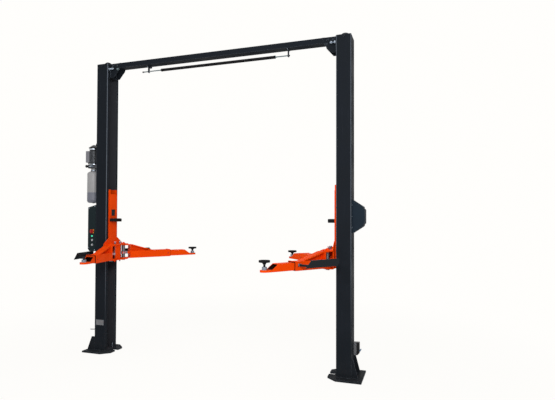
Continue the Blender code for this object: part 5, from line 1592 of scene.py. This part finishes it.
@dataclass
class LiftingPad:
    """A ribbed rubber pad on its screw, which stands for the plain CAD pad."""

    arm: Arm
    radius: float = 0.0575
    thick: float = 0.018
    stem: float = 0.012
    sleeve: float = 0.021
    tip_plate: float = 0.022
    tread: float = 0.0085
    pitch: float = 0.0032
    boss_foot: float = 0.0219
    boss_top: float = 0.0535

    def levels(self) -> tuple[float, float]:
        """The underside of the pad, and the top of the sleeve."""
        base = LIFT.inner_foot + self.tip_plate / 2 + self.arm.lift - self.thick / 2
        return base, LIFT.inner_foot + self.tip_plate + 0.028

    def turned(self, profile: Profile, steps: int) -> Sketch:
        """Turn a profile round the pad's axis."""
        bench = Sketch(self.arm.base())
        bench.lathe((self.arm.reach, 0, 0), UP, profile, steps)
        return bench

    def rubber(self) -> None:
        """Mould the rubber disc with its rings of tread."""
        base, _ = self.levels()
        top, wide, under = base + self.thick, self.radius, base - 0.005
        profile = [(0.0, base - 0.0230), (0.0150, base - 0.0230), (0.0165, base - 0.0215),
                   (0.0200, base - 0.0120), (0.0340, under), (wide - 0.006, under),
                   (wide - 0.002, under + 0.0015), (wide, under + 0.0045), (wide, top - 0.004),
                   (wide - 0.0015, top - 0.001), (wide - 0.004, top)]
        ridge = wide - 0.0075
        while ridge > 0.010:
            profile += [(ridge, top), (ridge - 0.001, top - 0.002), (ridge - 0.0030, top - 0.002),
                        (ridge - 0.0040, top)]
            ridge -= self.tread
        profile += [(0.0, top)]
        made = self.turned(profile, 48).done(f"pad_rubber_{self.arm.name}", BLACK_RUBBER,
                                             f"pad_{self.arm.name}", 30.0)
        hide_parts(f"pad_{self.arm.name}")

    def screw(self) -> None:
        """Turn the sleeve, the threaded stem and the plate under the rubber."""
        base, shoulder = self.levels()
        foot, wide, stem = LIFT.inner_foot, self.sleeve, self.stem
        profile = [(0.0, foot), (wide, foot), (wide, shoulder - 0.004), (wide - 0.002, shoulder - 0.002),
                   (wide - 0.002, shoulder), (stem, shoulder)]
        level = shoulder + 0.0015
        while level < base - 0.0260:
            profile += [(stem, level), (stem * 0.90, level + 0.0015), (stem, level + 0.0030)]
            level += self.pitch
        profile += [(stem, base - 0.0200), (0.0, base - 0.0200)]
        self.turned(profile, 32).done(f"pad_screw_{self.arm.name}", SPRING_STEEL, f"pad_{self.arm.name}",
                                      25.0)

    def boss(self) -> None:
        """Weld the boss on the tip plate, in which the raised sleeve still stands."""
        foot, top = LIFT.inner_foot + self.boss_foot, LIFT.inner_foot + self.boss_top
        inner, outer = self.sleeve + 0.0004, self.sleeve + 0.0045
        ring = [(inner, foot), (outer + 0.0020, foot), (outer, foot + 0.0025), (outer, top - 0.0020),
                (outer - 0.0015, top), (inner, top), (inner, foot)]
        self.turned(ring, 36).done(f"pad_boss_{self.arm.name}", ZINC, f"slide_{self.arm.name}", 25.0)

    def build(self) -> None:
        """Build the pad, its screw and the boss that it stands in."""
        self.rubber()
        self.screw()
        self.boss()


@dataclass
class PowerUnit(Trim):
    """The motor's fins and cap, the tank's clamp and seams, and the fittings."""

    side: Side = Side.LEFT
    out: float = LIFT.unit_out
    seat: float = 2.4776
    height: float = 0.200
    block: float = 2.4273
    neck: float = 2.3935
    neck_screw: float = 2.400
    tank_foot: float = 1.9602
    seams: tuple[float, ...] = (1.992, 2.352)
    clips: tuple[float, ...] = (3.060, 3.330, 3.600)
    hose_end: float = 3.6720

    @property
    def brim(self) -> float:
        """The level of the fan cap's brim."""
        return self.seat + self.height + 0.026

    @property
    def port(self) -> float:
        """The level of the valve block's ports."""
        return self.block + 0.025

    @property
    def terminal(self) -> tuple[float, float, float]:
        """The terminal box's near face, its lid's face and its underside."""
        start = self.out + 0.0410
        return start, start + 0.052, self.seat + 0.030

    def pieces(self) -> Sequence[Piece]:
        """The power unit's small pieces."""
        return (
            Piece("motor_fins", CAST_METAL, self.fins, smooth=None),
            Piece("motor_rings", CHROME, self.rings),
            Piece("fan_cap", BLACK_PLASTIC, self.cap),
            Piece("cap_nut", ZINC, self.cap_nut),
            Piece("unit_fittings", ZINC, self.fittings),
            Piece("neck_clamp", ZINC, self.clamp),
            Piece("tank_seams", TANK_PLASTIC, self.tank),
            Piece("terminal_lid", LILAC_ENAMEL, self.lid),
            Piece("terminal_screws", ZINC, self.lid_screws),
            Piece("terminal_gland", BLACK_PLASTIC, self.gland),
            Piece("lever_ball", BLACK_PLASTIC, self.ball, "lowering_lever"),
            Piece("hose_clips", ZINC, self.hose),
        )

    def fins(self, bench: Sketch) -> None:
        """Build the motor's cast cooling fins, but for those behind the terminal box."""
        low, high, count = self.seat + 0.020, self.seat + self.height - 0.020, 26
        middle = Matrix.Translation((self.out, 0.0, (low + high) / 2))
        for i in range(count):
            angle = math.tau * i / count
            if math.cos(angle) > 0.55:
                continue
            fin = bmesh.new()
            bmesh.ops.create_cube(fin, size=1.0, matrix=Matrix.Diagonal((0.0075, 0.0024, high - low, 1.0)))
            bench.take(fin, middle @ Matrix.Rotation(angle, 4, "Z") @ Matrix.Translation((0.0545, 0.0, 0.0)))

    def rings(self, bench: Sketch) -> None:
        """Turn the bright bands at the motor's two ends."""
        place, top, rim = (self.out, 0.0, self.seat), self.height, 0.0605
        bench.lathe(place, UP, [(0.0560, top - 0.002), (0.0585, top), (rim, top + 0.006), (rim, top + 0.016),
                                (0.0570, top + 0.021), (0.0520, top + 0.021), (0.0520, top - 0.002),
                                (0.0560, top - 0.002)], 40)
        bench.lathe(place, UP, [(0.0572, 0.0), (0.0582, 0.001), (0.0582, 0.008), (0.0572, 0.009),
                                (0.0500, 0.009), (0.0500, 0.0), (0.0572, 0.0)], 40)

    def cap(self, bench: Sketch) -> None:
        """Turn the black fan cap with its brim."""
        bench.lathe((self.out, 0.0, self.brim), UP,
                    [(0.0, 0.0405), (0.0170, 0.0405), (0.0200, 0.0395), (0.0672, 0.0050), (0.0680, 0.0020),
                     (0.0672, -0.0012), (0.0560, -0.0012)], 44)

    def cap_nut(self, bench: Sketch) -> None:
        """Place the crown nut on the fan cap."""
        bench.bolt((self.out, 0.0, self.brim + 0.0402), UP, 0.0075, 0.0065)

    def fittings(self, bench: Sketch) -> None:
        """Place the relief valve, the hose's ferrule, the plug and the bracket's bolts."""
        level, valve, plug = self.port, self.out + 0.018, self.out - 0.030
        bench.rod((valve, -0.0715, level), (valve, -0.0950, level), 0.0125, 20, 0.0105, 0.001)
        bench.rod((valve, -0.0585, level), (valve, -0.0722, level), 0.0150, HEXAGON, soft=0.001)
        bench.rod((plug, 0.0550, level), (plug, 0.0700, level), 0.0110, HEXAGON, soft=0.001)
        bench.rod((plug, 0.0700, level), (plug, 0.0850, level), 0.0070, 16, soft=0.001)
        for side, rise in product((-0.052, 0.052), (-0.038, 0.086)):
            bench.bolt((LIFT.outer + 0.0065, side, self.block + rise), OUTWARD, 0.0075, 0.0075)
        for side in (-0.038, 0.038):
            bench.bolt((self.out + 0.0505, side, level), OUTWARD, 0.0080, 0.0070)

    def clamp(self, bench: Sketch) -> None:
        """Turn the clamp round the tank's neck with its screw."""
        rim, bore = 0.0395, 0.0340
        bench.lathe((self.out, 0.0, self.neck), UP,
                    [(0.0365, 0.0), (rim, 0.001), (rim, 0.012), (0.0365, 0.013), (bore, 0.013), (bore, 0.0),
                     (0.0365, 0.0)], 36)
        bench.rod((self.out, 0.0390, self.neck_screw), (self.out, 0.0480, self.neck_screw), 0.0050, 8,
                  soft=0.0006)

    def tank(self, bench: Sketch) -> None:
        """Mould the tank's raised seams and its drain plug."""
        for level in self.seams:
            bench.ring((self.out, 0.0, level), UP, 0.0818, 0.0014, 48, 6)
        bench.lathe((self.out, 0.0, self.tank_foot), DOWN,
                    [(0.0125, 0.0), (0.0125, 0.0050), (0.0110, 0.0065), (0.0, 0.0065)], 24)

    def lid(self, bench: Sketch) -> None:
        """Lay the terminal box's lid on its face."""
        _, face, low = self.terminal
        bench.block((face + 0.0002, -0.0440, low + 0.001), (face + 0.0050, 0.0440, low + 0.155), 0.0014)

    def lid_screws(self, bench: Sketch) -> None:
        """Place the four screws of the terminal box's lid."""
        _, face, low = self.terminal
        for side, rise in product((-0.037, 0.037), (0.009, 0.147)):
            bench.lathe((face + 0.0050, side, low + rise), OUTWARD,
                        [(0.0036, 0.0), (0.0036, 0.0008), (0.0026, 0.0018), (0.0, 0.0018)], 16)

    def gland(self, bench: Sketch) -> None:
        """Screw the cable gland into the terminal box's underside."""
        start, _, low = self.terminal
        spot = (start + 0.028, 0.018)
        bench.rod((*spot, low), (*spot, low - 0.006), 0.0110, HEXAGON, soft=0.001)
        bench.rod((*spot, low - 0.006), (*spot, low - 0.020), 0.0090, 20, 0.0070, 0.001)

    def ball(self, bench: Sketch) -> None:
        """Turn the lowering lever's black ball over the bright stick's end."""
        bench.ball((self.out + 0.050, 0.079, self.port), 0.0194, 28, 18)

    def hose(self, bench: Sketch) -> None:
        """Clip the hose to the column and put a ferrule on its top end."""
        out, wall = LIFT.outer - 0.045, -LIFT.half_width
        back, bore, rim, half = wall - 0.010, 0.0083, 0.0096, 0.007
        for level in self.clips:
            bench.lathe((out, back, level), UP,
                        [(bore, -half), (rim, -half), (rim, half), (bore, half), (bore, -half)], 20)
            bench.block((out - 0.026, back + 0.0075, level - half),
                        (out - 0.004, wall - 0.0003, level + half), 0.0006, 1)
            bench.bolt((out - 0.019, back + 0.0077, level), (0, -1, 0), 0.0050, 0.0050)
        bench.lathe((out, back, self.hose_end), UP,
                    [(0.0082, 0.0), (0.0108, 0.001), (0.0108, 0.020), (0.0098, 0.022), (0.0098, 0.030),
                     (0.0118, 0.032), (0.0118, 0.0475), (0.0, 0.0475)], 24)


@dataclass
class Panel(Trim):
    """The knob's skirt, the lamp's lens, the bezels and the screws of the control box."""

    side: Side = Side.LEFT
    front: float = 0.115
    box_bottom: float = 1.317
    box_out: float = 1.810
    knob_rise: float = 0.262
    lamp_rise: float = 0.200
    button_rises: tuple[float, ...] = (0.146, 0.084)
    plate_foot: float = 0.346

    @property
    def plain(self) -> tuple[float, float]:
        """The bare plate's outer end and the face that it lies on."""
        return LIFT.outer - 0.022, self.front + 0.0018

    def pieces(self) -> Sequence[Piece]:
        """The panel's pieces."""
        return (
            Piece("knob_skirt", RED_PLASTIC, self.skirt, "isolator_knob"),
            Piece("lamp_lens", GREEN_LENS, self.lens),
            Piece("panel_bezels", GREY_PLASTIC, self.bezels),
            Piece("panel_screws", ZINC, self.screws),
            Piece("lid_seam", BOX_PLASTIC, self.seam),
            Piece("box_glands", BLACK_PLASTIC, self.glands),
            Piece("plain_plate", PALE_ENAMEL, self.plain_plate),
            Piece("plate_rivets", ZINC, self.rivets),
        )

    def skirt(self, bench: Sketch) -> None:
        """Mould the isolator knob's wide red skirt and its handle."""
        out, face, level = LIFT.panel_out, self.front + 0.0046, self.box_bottom + self.knob_rise
        bench.lathe((out, face, level), ASIDE, [(0.0, 0.0), (0.0262, 0.0), (0.0270, 0.0020), (0.0262, 0.0120),
                                                (0.0230, 0.0165), (0.0, 0.0165)], 36)
        bench.block((out - 0.0080, face + 0.0150, level - 0.0235),
                    (out + 0.0080, face + 0.0335, level + 0.0235), 0.0030)

    def lens(self, bench: Sketch) -> None:
        """Mould the domed green lens."""
        radius, foot, dome, steps = 0.0095, 0.002, 0.0065, 6
        angles = [math.radians(90 * step / steps) for step in range(steps + 1)]
        arc = [(radius * math.cos(angle), foot + dome * math.sin(angle)) for angle in angles]
        profile = [(radius, 0.0), *arc, (0.0, foot + dome)]
        bench.lathe((LIFT.panel_out, self.front + 0.0050, self.box_bottom + self.lamp_rise), ASIDE, profile)

    def bezels(self, bench: Sketch) -> None:
        """Turn the bezels round the lamp and the two buttons."""
        inner = 0.0112
        for rise, radius in ((self.lamp_rise, 0.0125), *((rise, 0.0143) for rise in self.button_rises)):
            bench.lathe((LIFT.panel_out, self.front, self.box_bottom + rise), ASIDE,
                        [(radius, 0.0), (radius, 0.0045), (radius - 0.001, 0.0058), (inner, 0.0058),
                         (inner, 0.0048)], 32)

    def screws(self, bench: Sketch) -> None:
        """Place the lid's four screws."""
        near, far = LIFT.outer + 0.014, self.box_out - 0.014
        slot, deep = 0.0016, 0.0018
        for out, level in ((near, 1.332), (far, 1.362), (near, 1.908), (far, 1.884)):
            bench.lathe((out, self.front, level), ASIDE,
                        [(0.0062, 0.0), (0.0062, 0.0010), (0.0046, 0.0026), (slot, 0.0030), (slot, deep),
                         (0.0, deep)], 20)

    def seam(self, bench: Sketch) -> None:
        """Build the lid's raised edge round the front of the box."""
        low, high = self.front - 0.032, self.front - 0.027
        inner, outer = LIFT.outer + 0.0015, self.box_out + 0.0015
        bench.block((outer - 0.0040, low, 1.349), (outer, high, 1.895), 0.0008, 1)
        bench.block((inner, low, 1.3155), (outer - 0.026, high, 1.3190), 0.0008, 1)

    def glands(self, bench: Sketch) -> None:
        """Screw two cable glands into the underside of the box."""
        foot = self.box_bottom
        for side in (0.030, -0.020):
            spot = (LIFT.outer + 0.045, side)
            bench.rod((*spot, foot), (*spot, foot - 0.006), 0.0140, HEXAGON, soft=0.001)
            bench.rod((*spot, foot - 0.006), (*spot, foot - 0.024), 0.0118, 24, 0.0095, 0.001)

    def plain_plate(self, bench: Sketch) -> None:
        """Lay the bare grey plate over its dark backing."""
        (end, face), low = self.plain, self.plate_foot
        bench.block((end - 0.1235, face, low + 0.0050), (end - 0.0045, face + 0.0007, low + 0.0730),
                    0.0003, 1)

    def rivets(self, bench: Sketch) -> None:
        """Rivet the bare plate at its corners."""
        end, face = self.plain
        for out, rise in product((end - 0.1180, end - 0.0100), (0.0105, 0.0675)):
            bench.lathe((out, face + 0.0007, self.plate_foot + rise), ASIDE,
                        [(0.0026, 0.0), (0.0024, 0.0007), (0.0014, 0.0012), (0.0, 0.0013)], 12)


@dataclass
class LockCover(Trim):
    """The right column's lock cover with its lip, flange and screws."""

    side: Side = Side.RIGHT
    low: float = 1.595
    high: float = 1.966
    depth: float = 0.138
    step: float = 0.016
    half: float = 0.075
    lip_radius: float = 0.0026

    def pieces(self) -> Sequence[Piece]:
        """The cover's small pieces."""
        return (Piece("cover_lip", COVER_PLASTIC, self.lip),
                Piece("cover_flanges", COVER_PLASTIC, self.flange),
                Piece("cover_screws", ZINC, self.screws))

    def lip(self, bench: Sketch) -> None:
        """Build the rolled edge that stands proud round both sides of the cover."""
        inner, outer, step = LIFT.outer + 0.002, LIFT.outer + self.depth, self.step
        path = [(inner, self.low + 0.001), (outer - step, self.low + step * 5),
                (outer - step, self.low + step * 6), (outer, self.low + step * 7),
                (outer, self.high - step * 7), (outer - step, self.high - step * 6),
                (outer - step, self.high - step * 5), (inner, self.high - 0.001)]
        for sign in BOTH:
            side = sign * (self.half - 0.003)
            for first, last in zip(path, path[1:]):
                bench.rod((first[0], side, first[1]), (last[0], side, last[1]), self.lip_radius, 10)
            for out, level in path[1:-1]:
                bench.ball((out, side, level), self.lip_radius, 10, 8)

    def flange(self, bench: Sketch) -> None:
        """Build the narrow flanges by which the cover is screwed to the column."""
        inner = LIFT.outer + 0.0003
        for sign in BOTH:
            bench.slab(sign, (inner, self.half, self.low + 0.030),
                       (inner + 0.0025, self.half + 0.016, self.high - 0.030), 0.0008, 1)

    def screws(self, bench: Sketch) -> None:
        """Place the flanges' screws."""
        levels = (self.low + 0.060, (self.low + self.high) / 2, self.high - 0.060)
        for sign, level in product(BOTH, levels):
            place = (LIFT.outer + 0.0028, sign * (self.half + 0.008), level)
            bench.bolt(place, OUTWARD, 0.0055, 0.0045)


@dataclass
class FootBox(Trim):
    """The dark lid, the blue grip and the screws of the small housing near the floor."""

    side: Side = Side.RIGHT
    low: float = 0.226
    high: float = 0.366
    near: float = 0.063
    far: float = 0.113
    out: float = LIFT.outer + 0.062
    slope: float = 0.022
    proud: float = 0.0008

    def pieces(self) -> Sequence[Piece]:
        """The housing's small pieces."""
        return (Piece("foot_lid", BLACK_PLASTIC, self.lid),
                Piece("foot_grip", BLUE_ENAMEL, self.grip),
                Piece("foot_screws", ZINC, self.screws))

    def lid(self, bench: Sketch) -> None:
        """Fold the dark lid over the outer half of the housing."""
        inner, outer, proud = LIFT.outer + 0.031, self.out, self.proud
        outline = [(inner, self.low - proud), (outer - self.slope, self.low - proud),
                   (outer + proud, self.low + self.slope), (outer + proud, self.high + proud),
                   (inner, self.high + proud)]
        part = prism(outline, self.near - proud, self.far - self.near + proud * 2)
        bmesh.ops.bevel(part, geom=part.edges[:], offset=0.0007, segments=1, profile=0.5,
                        affect="EDGES", material=-1)
        bench.take(part)

    def grip(self, bench: Sketch) -> None:
        """Slip a blue grip over the small lever."""
        middle = (self.near + self.far) / 2
        stem = Vector((self.out - 0.002, middle, self.low + 0.033))
        tip = Vector((self.out + 0.0176, middle, self.low + 0.066))
        along = (tip - stem).normalized()
        bench.rod(stem + along * 0.010, tip + along * 0.0012, 0.0068, 18, 0.0060, 0.0008)

    def screws(self, bench: Sketch) -> None:
        """Place the housing's screws."""
        head = [(0.0030, 0.0), (0.0030, 0.0008), (0.0020, 0.0016), (0.0, 0.0016)]
        sides, levels = (self.near + 0.010, self.far - 0.010), (self.low + 0.036, self.high - 0.010)
        for side, level in product(sides, levels):
            bench.lathe((self.out + self.proud, side, level), OUTWARD, head, 14)
        for level in (self.low + 0.020, self.high - 0.020):
            bench.bolt((LIFT.outer + 0.016, self.near, level), (0, -1, 0), 0.0048, 0.0040)


def main() -> None:
    """Build the looks in order."""
    logging.basicConfig(level=logging.INFO, format="%(message)s")
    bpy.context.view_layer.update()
    Studio().build()
    paint_nodes()
    for side in Side:
        for trim in (Footing(side), ColumnHead(side), CarriageTrim(side)):
            trim.build()
    for arm in ARMS:
        ArmTrim(arm).build()
        LiftingPad(arm).build()
    for trim in (LimitBar(), PowerUnit(), Panel(), LockCover(), FootBox()):
        trim.build()


if __name__ == "__main__":
    main()
